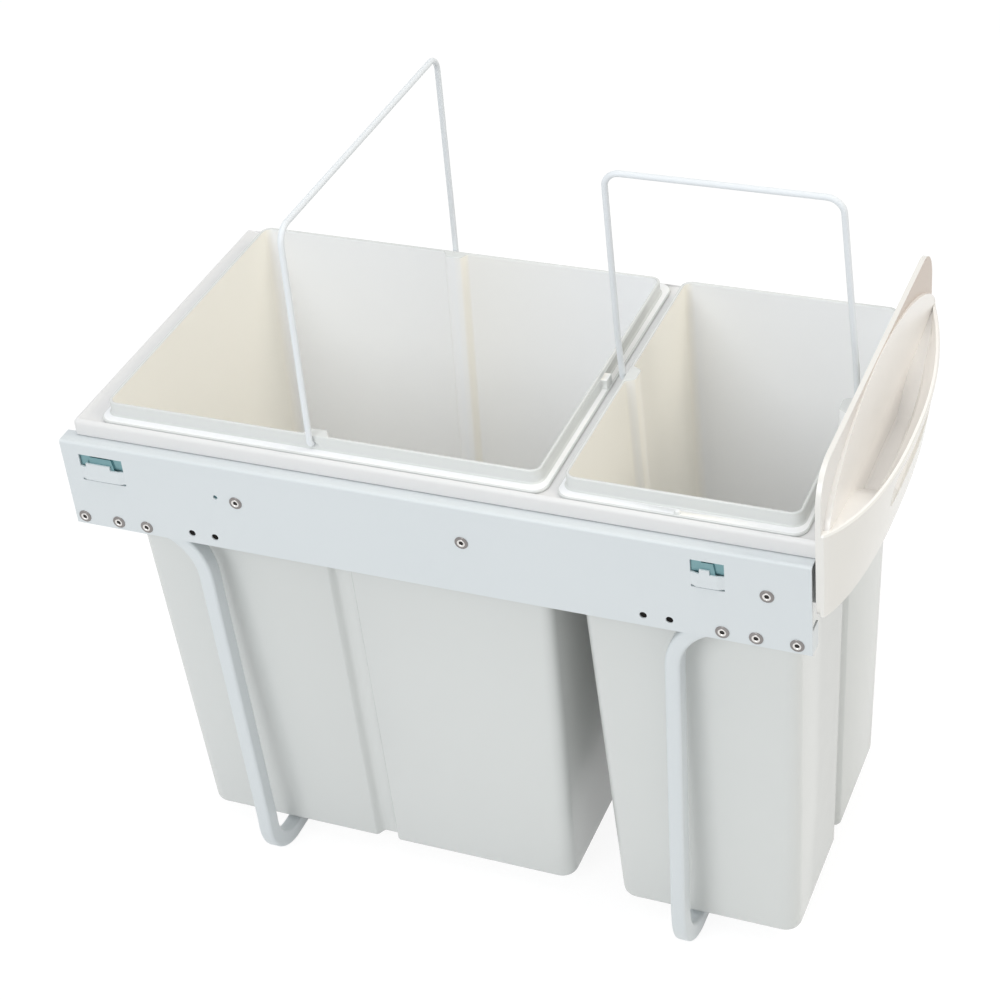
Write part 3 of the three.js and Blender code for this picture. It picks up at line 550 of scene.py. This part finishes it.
def turned(name, profile, base, axis, sides=32, smooth=40):
    """A turned piece: [radius, height] from a base point in mm, along an axis."""
    base, axis = Vector(base), Vector(axis).normalized()
    up = Vector((0, 0, 1)) if abs(axis.z) < 0.5 else Vector((1, 0, 0))
    side = axis.cross(up).normalized()
    angles = [2 * math.pi * i / sides for i in range(sides)]
    points, faces = [], []
    for radius, height in profile:
        row = [base + axis * height + (up * math.sin(a) + side * math.cos(a)) * radius
               for a in angles]
        points += [tuple(p) for p in row]
    for level in range(len(profile) - 1):
        low, high = level * sides, (level + 1) * sides
        for i in range(sides):
            j = (i + 1) % sides
            faces.append((low + i, low + j, high + j, high + i))
    return shaped(name, points, faces, smooth)


def rivet(name, side, distance, height):
    """A rivet with painted light and shade: a painted highlight on its collar, painted shade in
    the dark steel round it, and its mandrel painted black for the shade in its hole.
    """
    made = turned(name, rivet_profile + mandrel_profile[1:],
                  (side * unit_half, distance, height), (side, 0, 0))
    for material in (rivet_steel, collar_highlight, mandrel_shade):
        made.data.materials.append(material)
    centre = place(side * unit_half, distance, height)
    for face in made.data.polygons:
        off = (face.center - centre) * 1000
        reach = math.hypot(off.y, off.z)
        if off.x * side > -rivet_sunk and reach < collar_reach:
            face.material_index = 2 if reach < hole_reach else 1
    return made


for side, word in ((-1, "left"), (1, "right")):
    rows = (("slide_rivet", slide_rivets, slide_row, ""),
            ("bar_rivet", rear_rivets, rivet_row, "_rear"),
            ("bar_rivet", front_rivets, rivet_row, "_front"))
    for kind, distances, height, end in rows:
        for i, distance in enumerate(distances, 1):
            made = rivet(f"pop_{kind}{end}_{word}_{i}", side, distance, height)
            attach(made, "side_frame")
            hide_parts(f"{kind}{end}_{word}_{i}")

# ---- support tubes ----
# Two bent rectangular steel tubes, 10 by 12 mm, coated like the plates. Each runs under the
# plates' ends, down, across the cupboard floor and up the other side.
tube_depth, tube_width, tube_wall = 10.0, 12.0, 1.2
tube_corner, tube_inner_corner = 2.2, 1.2
bend_steps, corner_steps = 14, 5
leg_top, leg_foot = 84.2, 91.2
top_bend, foot_bend = 36.0, 28.0
ankle, ankle_bend = 12.0, 60.0
tube_inset, tube_gap = 1.5, 0.2


def rounded_section(width, depth, corner, steps):
    """Points of a rounded rectangle."""
    points = []
    for quarter, (a, b) in enumerate(((1, 1), (-1, 1), (-1, -1), (1, -1))):
        for step in range(steps + 1):
            angle = math.pi / 2 * (quarter + step / steps)
            points.append((a * (width / 2 - corner) + corner * math.cos(angle),
                           b * (depth / 2 - corner) + corner * math.sin(angle)))
    return points


def swept(stations, section):
    """Rings of points: the section carried along the stations."""
    return [[tuple(at + up * m + side * n) for m, n in section] for at, up, side in stations]


def support_tube(name, end, direction):
    """A hollow tube from one plate down to the floor and up to the other."""
    side = unit_half - sheet - tube_gap - tube_width / 2
    ground = -plate_top + tube_width / 2
    top, foot = end + direction * leg_top, end + direction * leg_foot
    start = end + direction * tube_inset
    upright_from = ground + foot_bend + ankle
    corners = [(-side, start, rivet_row), (-side, top, rivet_row), (-side, foot, upright_from),
               (-side, foot, ground), (side, foot, ground), (side, foot, upright_from),
               (side, top, rivet_row), (side, start, rivet_row)]
    radii = [top_bend, ankle_bend, foot_bend, foot_bend, ankle_bend, top_bend]
    stations = bent_run(corners, radii, bend_steps, (0, 0, 1), (1, 0, 0))
    outer = swept(stations, rounded_section(tube_depth, tube_width, tube_corner, corner_steps))
    inner = swept(stations, rounded_section(tube_depth - 2 * tube_wall, tube_width - 2 * tube_wall,
                                            tube_inner_corner, corner_steps))
    count, rows = len(outer[0]), len(outer)
    points = [p for ring in outer + inner for p in ring]
    faces = []
    for level in range(rows - 1):
        for i in range(count):
            j = (i + 1) % count
            low, high = level * count, (level + 1) * count
            faces.append((low + i, low + j, high + j, high + i))
            low, high = low + rows * count, high + rows * count
            faces.append((low + i, high + i, high + j, low + j))
    for level in (0, rows - 1):
        for i in range(count):
            j = (i + 1) % count
            low, high = level * count, (rows + level) * count
            faces.append((low + i, low + j, high + j, high + i))
    return shaped(name, points, faces)


for name, end, direction in (("rear", 0.0, 1), ("front", plate_length, -1)):
    tube = support_tube(f"tube_{name}", end, direction)
    fitted(tube, powder_coat, "painted_steel", "side_frame", f"support_bar_{name}")

# ---- slides ----
# Ball-bearing slides of zinc-plated steel: the outer members are riveted to the plates, the inner
# ones screwed to the carrier, and the middle ones and the ball cages run between them.
# The zinc's own blue-green, painted darker for the shade the slides lie in behind the plates.
shaded_zinc_tone = (0.14, 0.29, 0.32, 1)
shaded_zinc_second = (0.27, 0.43, 0.45, 1)
zinc = metallic("zinc_plate", (shaded_zinc_tone, shaded_zinc_second), 700.0, (0.2, 0.42), 0.15, 0.85)


def plated(node, material):
    """Gives a CAD node that stays a material."""
    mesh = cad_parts[node].data
    mesh.materials.clear()
    mesh.materials.append(material)


for word in ("left", "right"):
    for kind in ("outer", "middle", "inner"):
        plated(f"slide_{kind}_{word}", zinc)
    for kind in ("outer", "inner"):
        plated(f"ball_cage_{kind}_{word}", zinc)
    for i in (1, 2, 3):
        plated(f"slide_screw_{word}_{i}", rivet_steel)
    plated(f"handle_screw_{word}", rivet_steel)

# ---- carrier ----
# One white moulding in a thin wall. Its rounded rim stands on the plates, its floor carries the
# bins' ledges, and walls hang down inside the slides. Two hollow ribs cross it.
carrier_half = 120.0
carrier_rear, carrier_front = 7.4, 480.2
carrier_lift, carrier_floor, carrier_rim = 0.7, 10.0, 11.5
carrier_wall, carrier_round, carrier_corner, carrier_edge = 2.0, 3.5, 2.5, 0.45
rim_width, rear_run = 2.3, 5.0
hanger_half, opening_half = 113.7, 112.1
hanger_wall, hanger_drop, rib_drop = 1.6, 36.0, 20.0
opening_corner, tray_corner, under_corner, least_corner = 6.0, 2, 0.6, 0.4
join = 0.5               # how far joined bodies run into each other
clear = 10               # how far long cutters pass what they cut
round_steps = 8
large = {"rear": 27.4, "front": 313.5}
small = {"rear": 327.7, "front": 468.2}
carrier_tone = (0.775, 0.77, 0.765, 1)
carrier_second = (0.795, 0.79, 0.785, 1)
carrier_plastic = skinned("carrier_plastic", (carrier_tone, carrier_second), 420.0, (0.36, 0.46),
                          0.05)
groove_flank = 4.5


def groove_shape(width, flank, steps=4):
    """Places along a groove and how much of its depth each has."""
    rise = [(0.5 - 0.5 * math.cos(math.pi * i / steps)) for i in range(steps + 1)]
    first = [(-width / 2 + flank * i / steps, rise[i]) for i in range(steps + 1)]
    return first + [(-along, share) for along, share in reversed(first)]


def plan_ring(rear, front, half, corner, height, groove=None, steps=8):
    """A rounded rectangle seen from above. groove is (walls face sideways, depth, width)."""
    middle, reach = (rear + front) / 2, (front - rear) / 2
    ring = []
    for quarter, (a, b) in enumerate(((1, 1), (-1, 1), (-1, -1), (1, -1))):
        for step in range(steps + 1):
            angle = math.pi / 2 * (quarter + step / steps)
            ring.append((a * (half - corner) + corner * math.cos(angle),
                         middle - b * (reach - corner) - corner * math.sin(angle), height))
        sideways = quarter % 2 == 1
        if groove is None or groove[0] != sideways:
            continue
        away = 1 if quarter < 2 else -1
        for along, share in groove_shape(groove[2], groove_flank):
            inward = groove[1] * share
            if sideways:
                ring.append((-away * (half - inward), middle + away * along, height))
            else:
                ring.append((-away * along, middle - away * (reach - inward), height))
    return ring


def carrier():
    """The carrier, cut square at the front where the handle closes it."""
    past = carrier_front + 2 * clear

    def ring(inset, height):
        return plan_ring(carrier_rear + inset, past, carrier_half - inset,
                         max(carrier_corner - inset, least_corner), height)

    levels = [ring(0, carrier_lift)]
    for step in range(round_steps + 1):
        angle = math.pi / 2 * step / round_steps
        levels.append(ring(carrier_round * (1 - math.cos(angle)),
                           carrier_rim - carrier_round + carrier_round * math.sin(angle)))
    shell = shaped("carrier_moulding", *loft(levels))
    inner_half = carrier_half - rim_width
    tray = shaped("tray", *loft([
        plan_ring(rear, past + clear, inner_half, tray_corner, height)
        for rear, height in ((carrier_rear + rim_width + rear_run, carrier_floor),
                             (carrier_rear + rim_width - 1, carrier_rim + join))]))
    below = shaped("below", *loft([
        plan_ring(carrier_rear + carrier_wall, past + clear, carrier_half - carrier_wall,
                  under_corner, height)
        for height in (carrier_lift - 1, carrier_floor - carrier_wall)]))
    worked(shell, [tray, below])
    hanger = block("hanger", (-hanger_half, hanger_half),
                   (large["rear"] - hanger_wall, carrier_front + clear / 2),
                   (-hanger_drop, carrier_floor - carrier_wall + join))
    worked(shell, [hanger], "UNION")
    deep = -hanger_drop - 1
    under = carrier_floor - carrier_wall
    front_wall = carrier_front - carrier_wall
    wide, high = 20 * clear, 6 * clear
    cutters = [block("square", (-wide, wide), (carrier_front, past + 3 * clear), (-high, high))]
    for each in (large, small):
        rings = [plan_ring(each["rear"], each["front"], opening_half, opening_corner, h)
                 for h in (deep, carrier_rim + 1)]
        cutters.append(shaped("opening", *loft(rings)))
    span = (-opening_half, opening_half)
    cutters += [
        block("pocket", span, (large["front"] + hanger_wall, small["rear"] - hanger_wall),
              (deep, under)),
        block("pocket", span, (small["front"] + hanger_wall, front_wall), (deep, under)),
        block("low", span, (large["front"] - 1, small["rear"] + 1), (deep, -rib_drop)),
        block("low", span, (small["front"] - 1, front_wall), (deep, -rib_drop)),
        block("low", span, (large["rear"] - hanger_wall - 1, large["rear"] + 1),
              (deep, -rib_drop)),
    ]
    worked(shell, cutters)
    return eased(shell, carrier_edge)


fitted(carrier(), carrier_plastic, "carrier_plastic", "carriage", "carrier")

# ---- bins ----
# Two lift-out bins, each one glossy ivory skin with drafted walls. A rounded rim stands up above
# the ledge that rests on the carrier, and a groove in two of the walls shows as a rib inside.
rim_height, rim_wall, rim_half = 21.0, 2.0, 110.0
bin_wall, bin_depth = 2.0, 329.5
ledge_under, ledge_top, ledge_side = 10.2, 12.2, 5.0
groove_width, groove_depth = 18.0, 5.8
rim_round, ledge_round, ledge_fillet = 0.9, 0.8, 1.2
floor_round, inside_round = 5.0, 8.0
rim_corner, foot_corner, ledge_corner = 7, 11, 9          # radii in plan, outside
inside_corner, inside_foot_corner = 5, 9                  # and inside
lining_drop = 0.5        # how far under the rim's top the inner material starts
bin_clearance, body_edge, ledge_edge = 0.7, 0.3, 0.4
large.update(ledges=(3.4, 5.0), taper=(2.8, 11.5, 17.0), sideways=True)
small.update(ledges=(3.5, 4.0), taper=(8.3, 11.2, 14.0), sideways=False)
large_pivot, small_pivot = 168.25, 397.95
pivot_height, pin_radius = 15.6, 2.15
pin_inside, pin_outside = 6, 1          # how far a pin's hole reaches from the rim's outside
ledge_block = {"across": -3.5, "length": 9.0, "width": 4.5, "height": 6.0}
block_edge = 0.5
ledge_nub = [(0.0, -0.5), (2.2, -0.5), (2.2, 0.0), (1.6, 1.0), (1.2, 1.2), (0.0, 1.2)]
nub_out = 2.4
bin_tone = (0.7, 0.715, 0.7, 1)
bin_second = (0.715, 0.73, 0.715, 1)
# Painted light: the bins' inner faces take a lighter copy of the bin plastic, in place of the
# light that comes through the thin walls.
inside_lit_tone = (0.875, 0.885, 0.895, 1)
# Painted warm light on the inner walls that face the front, and the strength of a painted glow on
# all inner faces.
inside_warm_lit_tone = (0.95, 0.915, 0.82, 1)
painted_glow = 0.04
bin_plastic = skinned("bin_plastic", (bin_tone, bin_second), 55.0, (0.24, 0.28), 0.04)
# The inner material: the bin plastic painted lighter, as painted light.
lit_bin_inside = skinned("lit_bin_inside", (inside_lit_tone, inside_lit_tone), 55.0, (0.3, 0.34))


def toned(material, coordinates, axis, ends, first, second):
    """Lets a material's colour go from first to second between two ends along an axis."""
    tree = material.node_tree
    split = tree.nodes.new("ShaderNodeSeparateXYZ")
    where = tree.nodes.new("ShaderNodeTexCoord").outputs[coordinates]
    tree.links.new(where, split.inputs[0])
    spread = tree.nodes.new("ShaderNodeMapRange")
    spread.inputs["From Min"].default_value, spread.inputs["From Max"].default_value = ends
    tree.links.new(split.outputs[axis], spread.inputs["Value"])
    tint = blended(tree, spread.outputs[0], first, second)
    surface = tree.nodes["Principled BSDF"]
    tree.links.new(tint, surface.inputs["Base Color"])
    return tint, surface


# Painted light inside the bins: the inner walls that face the front are painted creamier for the
# warm light that falls on them, and all inner faces have a faint painted glow for the light that
# comes through the walls.
tint, surface = toned(lit_bin_inside, "Normal", "Y", (0.0, -0.9), inside_lit_tone, inside_warm_lit_tone)
lit_bin_inside.node_tree.links.new(tint, surface.inputs["Emission Color"])
surface.inputs["Emission Strength"].default_value = painted_glow


def round_over(radius, steps):
    """Steps round a quarter: how far in and how far up."""
    for step in range(steps + 1):
        angle = math.radians(90 * step / steps)
        yield radius * (1 - math.cos(angle)), radius * math.sin(angle)


def bin_body(name, what):
    """A bin's skin: up the outside from its floor, round the ledge and rim, down the inside."""
    rear, front = what["rear"], what["front"]
    back_taper, front_taper, side_taper = what["taper"]
    back_ledge, front_ledge = what["ledges"]

    def wall(amount, inset, height, corner, depth):
        return plan_ring(rear + back_taper * amount + inset, front - front_taper * amount - inset,
                         rim_half - side_taper * amount - inset, max(corner, 0.5), height,
                         (what["sideways"], depth, groove_width))

    def ledge(inset, height):
        return plan_ring(rear - back_ledge + inset, front + front_ledge - inset,
                         opening_half + ledge_side - inset, ledge_corner - inset * 0.5, height,
                         (what["sideways"], 0.0, groove_width))

    rings = []
    for inset, rise in round_over(floor_round, 5):
        rings.append(wall(1, floor_round - rise, -bin_depth + inset,
                          foot_corner - floor_round + rise, groove_depth))
    for share in (0.75, 0.5, 0.25):
        height = ledge_under + (-bin_depth + floor_round - ledge_under) * share
        rings.append(wall(share, bin_clearance * (1 - share), height,
                          rim_corner + (foot_corner - rim_corner) * share, groove_depth))
    rings.append(wall(0, bin_clearance, ledge_under - ledge_edge, rim_corner, groove_depth))
    rings.append(wall(0, bin_clearance - body_edge, ledge_under, rim_corner, groove_depth))
    rings.append(ledge(ledge_edge, ledge_under))
    rings.append(ledge(0.0, ledge_under + ledge_edge))
    for inset, rise in round_over(ledge_round, 3):
        rings.append(ledge(inset, ledge_top - ledge_round + rise))
    for inset, rise in round_over(ledge_fillet, 3):
        rings.append(wall(0, -ledge_fillet + rise, ledge_top + inset,
                          rim_corner + ledge_fillet - rise, 0.0))
    for inset, rise in round_over(rim_round, 4):
        rings.append(wall(0, inset, rim_height - rim_round + rise, rim_corner - inset, 0.0))
    for inset, rise in round_over(rim_round, 4):
        rings.append(wall(0, rim_wall - rim_round + rise, rim_height - inset,
                          inside_corner + 1 - rise, groove_depth))
    inside_floor = -bin_depth + bin_wall + inside_round
    for share in (0.25, 0.5, 0.75):
        rings.append(wall(share, bin_wall, rim_height + (inside_floor - rim_height) * share,
                          inside_corner + (inside_foot_corner - inside_corner) * share,
                          groove_depth))
    for inset, rise in round_over(inside_round, 5):
        rings.append(wall(1, bin_wall + inset, inside_floor - rise, inside_foot_corner - inset,
                          groove_depth))
    return shaped(name, *loft(rings), smooth=38)


def lined(made, body, what):
    """Gives a bin its two materials: the faces that look inwards take the inner one, painted
    lighter as painted light.
    """
    fitted(made, [bin_plastic, lit_bin_inside], "bin_plastic", body, body)
    middle = place(0, (what["rear"] + what["front"]) / 2, rim_height)
    for face in made.data.polygons:
        inward = (middle - face.center).dot(face.normal) > 0
        below_rim = (middle.z - face.center.z) * 1000 > lining_drop
        face.material_index = 1 if inward and below_rim else 0


large_bin = bin_body("bin_large", large)
first = ledge_block["across"] - ledge_block["length"] / 2
stop = block("stop", (first, first + ledge_block["length"]),
             (large["front"] - join, large["front"] + ledge_block["width"]),
             (ledge_top - join, ledge_top + ledge_block["height"]))
worked(large_bin, [eased(stop, block_edge)], "UNION")
pins = [round_bar("pin", pin_radius, (side * (rim_half - pin_inside), large_pivot, pivot_height),
                  (side * (rim_half + pin_outside), large_pivot, pivot_height), 24)
        for side in (-1, 1)]
worked(large_bin, pins)
lined(large_bin, "large_bin", large)

small_bin = bin_body("bin_small", small)
pins = [round_bar("pin", pin_radius, (0, small[end] - pin_inside * way, pivot_height),
                  (0, small[end] + pin_outside * way, pivot_height), 24)
        for end, way in (("rear", -1), ("front", 1))]
worked(small_bin, pins)
nub = turned("nub", ledge_nub, (-opening_half - nub_out, small_pivot, ledge_top), (0, 0, 1), 24)
worked(small_bin, [nub], "UNION")
lined(small_bin, "small_bin", small)

# ---- bails ----
# A bail of plastic-coated wire for each bin, bent over at its feet into pins that turn in the rim.
# The large one leans forward a little, and the small one to the left.
wire_radius = 1.9
bail_gap, pin_reach, bail_straight = 0.5, 5.0, 35.0
bail_corner, pin_bend, lean_bend = 10.0, 3.0, 60.0
wire_steps, wire_sides = 12, 20
large_reach, large_draw, large_tilt = 145.8, 1.0, 0.9     # height, how far it draws in, degrees
small_reach, small_draw, small_tilt = 152.3, 3.6, -6.5
wire_tone = (0.79, 0.82, 0.845, 1)
wire_second = (0.81, 0.84, 0.865, 1)
coated_wire = skinned("coated_wire", (wire_tone, wire_second), 150.0, (0.5, 0.56), specular=0.3)


def bail(name, half, reach, draw, put):
    """A bail drawn upright about its pivot; put turns each point into a place."""
    leg, tip = half + bail_gap + wire_radius, half - pin_reach
    right = [(tip, 0), (leg, 0), (leg, bail_straight), (leg - draw, reach)]
    corners = [(x, 0, z) for x, z in right] + [(-x, 0, z) for x, z in reversed(right)]
    radii = [pin_bend, lean_bend, bail_corner, bail_corner, lean_bend, pin_bend]
    stations = bent_run(corners, radii, wire_steps, (0, 0, 1), (0, 1, 0))
    circle = [(wire_radius * math.cos(a), wire_radius * math.sin(a))
              for a in (2 * math.pi * i / wire_sides for i in range(wire_sides))]
    rings = swept(stations, circle)
    points, faces = loft(rings)
    return shaped(name, [put(*p) for p in points], faces, smooth=50)


forward = math.radians(large_tilt)
sideways = math.radians(small_tilt)
large_bail = bail("bail_large", rim_half, large_reach, large_draw, lambda x, y, z: (
    x, large_pivot + y * math.cos(forward) + z * math.sin(forward),
    pivot_height + z * math.cos(forward) - y * math.sin(forward)))
fitted(large_bail, coated_wire, "coated_wire", "large_bail", "large_bail")
small_half = (small["front"] - small["rear"]) / 2
small_bail = bail("bail_small", small_half, small_reach, small_draw, lambda x, y, z: (
    y * math.cos(sideways) + z * math.sin(sideways), small_pivot - x,
    pivot_height + z * math.cos(sideways) - y * math.sin(sideways)))
fitted(small_bail, coated_wire, "coated_wire", "small_bail", "small_bail")

# ---- handle ----
# One glossy warm-white moulding screwed to the carrier's front: a plate, an arch that rises up
# it, and a bow-shaped bowl with a grip scooped out of its outside.
handle_half = 126.0
handle_back, handle_face = 480.5, 483.5
handle_top, handle_bottom = 60.0, -38.0
handle_corner, handle_foot_corner = 22.0, 9.0
bow_start, bow_depth, bow_foot, bow_middle = 485.0, 25.5, 14.0, -10.0
bow_rim, bow_wall = 21.5, 3.5
bow_right, bow_left = (2.1, 1.0), (2.8, 0.8)     # how square and how full each side is
bowl_levels = [  # how much shorter at each end, height, how far its front stays inside the bow
    (1.5, handle_bottom + 1, 1.5), (0.0, handle_bottom + 3, 0.0), (0.0, bow_rim - 1.2, 0.0),
    (0.8, bow_rim, 1.0)]
least_bowl = 0.2         # the bowl keeps at least this much depth at its ends
arch_half, arch_face, arch_swell, arch_rise = 121.0, 484.2, 2.8, 37.5
arch_power, arch_fall, arch_thick, arch_taper = 1.9, 0.62, 3.0, 6
arch_sunk, arch_steps = 10, 60
pocket = [  # height, half length, back, how far its front stays inside the bow
    (-10.0, 34.0, 485.4, 11.0), (-8.5, 39.0, 484.2, 9.5), (0.0, 52.0, 483.9, 8.5),
    (8.0, 66.0, 483.9, 8.0), (11.5, 80.0, 484.1, 7.0), (15.0, 97.0, 484.2, 4.5),
    (21.5, 121.8, 484.2, 2.6), (22.1, 124.0, 484.2, -6.0), (61.0, 124.0, 484.2, -6.0)]
underside_half, underside_top, underside_wall = 100.0, -28.0, 3
grip_half, grip_depth, grip_steps = 60.0, 5.5, 32
grip_levels = [(-7, 3), (-5, 0), (9, 0), (14, 4)]     # height, how much shallower it is there
handle_edge = 0.8
handle_tone = (0.83, 0.81, 0.77, 1)
handle_second = (0.85, 0.835, 0.8, 1)
# Painted shade: the plate's front face has its own material, with a painted shade that deepens to
# brown across it.
face_tone = (0.82, 0.805, 0.785, 1)
face_shade_tone = (0.6, 0.51, 0.44, 1)
face_shade_span = (-0.09, 0.0)
face_near, rim_kept = 0.4, 1.8     # which faces take the front's and the pocket's materials
# Painted light: the pocket is painted lighter than the rest of the moulding, for the light and
# reflections that brighten it.
pocket_lit_tone = (0.93, 0.905, 0.875, 1)
pocket_lit_second = (0.94, 0.92, 0.895, 1)
handle_plastic = skinned("handle_plastic", (handle_tone, handle_second), 60.0, (0.2, 0.26),
                         0.03)
shaded_handle_front = skinned("shaded_handle_front", (face_tone, face_tone), 60.0, (0.3, 0.36), 0.03)
lit_handle_pocket = skinned("lit_handle_pocket", (pocket_lit_tone, pocket_lit_second), 60.0, (0.22, 0.28), 0.03)

# Painted shade: the plate's front goes darker and browner towards its right end, for the shade
# that falls on it there.
toned(shaded_handle_front, "Object", "X", face_shade_span, face_tone, face_shade_tone)


def bow(x, depth):
    """Distance of the bow's outside at x. It is fullest a little left of the middle."""
    reach = handle_half + math.copysign(bow_middle, x - bow_middle)
    power, fall = bow_right if x > bow_middle else bow_left
    return bow_start + depth * max(0.0, 1 - abs((x - bow_middle) / reach) ** power) ** fall


def depth_at(height):
    """Depth of the bow at a height, from its lower edge to its rim."""
    share = (height - handle_bottom) / (bow_rim - handle_bottom)
    return bow_foot + (bow_depth - bow_foot) * share


def arch_front(x, back=arch_face):
    """Distance of the arch's front at x: it stands out more towards its ends."""
    return back + arch_swell * (x / arch_half) ** 2


def bow_ring(half, back, height, inset=0.0, curved=False, steps=48):
    """The bowl's plan at one height: its front follows the bow, its back the arch if curved."""
    places = [half * math.sin(math.pi / 2 * (2 * step / steps - 1)) for step in range(steps + 1)]
    rear = [arch_front(x, back) if curved else back for x in places]
    ring = [(x, max(bow(x, depth_at(height)) - inset, least + least_bowl), height)
            for x, least in zip(places, rear)]
    return ring + [(x, least, height) for x, least in zip(reversed(places), reversed(rear))]


def upright(name, outline, rear, front):
    """A flat outline in x and height, made as thick as rear to front."""
    return shaped(name, *loft([[(x, u, h) for x, h in outline] for u in (rear, front)]))


def rounded_plate():
    """The outline of the handle's plate."""
    points = []
    spots = ((handle_half, handle_bottom, handle_foot_corner, -90),
             (handle_half, handle_top, handle_corner, 0),
             (-handle_half, handle_top, handle_corner, 90),
             (-handle_half, handle_bottom, handle_foot_corner, 180))
    for x, h, radius, first in spots:
        cx = x - math.copysign(radius, x)
        ch = h - math.copysign(radius, h)
        for step in range(13):
            angle = math.radians(first + 90 * step / 12)
            points.append((cx + radius * math.cos(angle), ch + radius * math.sin(angle)))
    return points


def arch_piece():
    """The arch that stands up the plate, thick enough for the pocket to be cut down its front."""
    rings = []
    for i in range(arch_steps + 1):
        x = arch_half * math.cos(math.pi * i / arch_steps)
        full = max(0.0, 1 - abs(x / arch_half) ** arch_power) ** arch_fall
        high = bow_rim + arch_rise * full
        low, back = bow_rim - arch_sunk, handle_face - join
        front = arch_front(x) + arch_thick * (1 - abs(x / arch_half) ** arch_taper)
        rings.append([(x, back, low), (x, front, low), (x, front, high), (x, back, high)])
    return shaped("arch", *loft(rings))


def handle():
    """The whole moulding."""
    back = handle_face - join
    body = upright("handle_moulding", rounded_plate(), handle_back, handle_face)
    arch = arch_piece()
    bowl = shaped("bowl", *loft([bow_ring(handle_half - shorter, back, height, inset)
                                 for shorter, height, inset in bowl_levels]))
    worked(body, [arch, bowl], "UNION")
    well = shaped("well", *loft([bow_ring(half, rear, height, inset, True)
                                 for height, half, rear, inset in pocket]))
    outer = bow_start + bow_depth + clear

    def grip_ring(height, depth):
        inner = []
        for i in range(grip_steps + 1):
            x = grip_half * (1 - 2 * i / grip_steps)
            hollow = depth * (1 - (x / grip_half) ** 2) - join
            inner.append((x, bow(x, depth_at(height)) - hollow, height))
        return [(-grip_half, outer, height), (grip_half, outer, height)] + inner

    grip = shaped("grip", *loft([grip_ring(height, grip_depth - less)
                                 for height, less in grip_levels]))
    underside = shaped("underside", *loft([
        bow_ring(underside_half, handle_face + underside_wall, height, bow_wall)
        for height in (handle_bottom - 1, underside_top)]))
    worked(body, [well, grip, underside])
    return eased(body, handle_edge, 3, 30)


made = handle()
fitted(made, [handle_plastic, shaded_handle_front, lit_handle_pocket], "handle_plastic", "carriage",
       "handle")
# The faces of the plate's front take its painted shade, and the faces in the pocket take its
# painted light.
pocket_floor = pocket[0][0] - 1
for face in made.data.polygons:
    x = face.center.x * 1000
    distance = plate_rear - face.center.y * 1000
    height = face.center.z * 1000 - plate_top
    if abs(distance - handle_face) < face_near and face.normal.y < -0.9:
        face.material_index = 1
    elif height > pocket_floor and handle_face < distance < bow(x, depth_at(height)) - rim_kept:
        face.material_index = 2
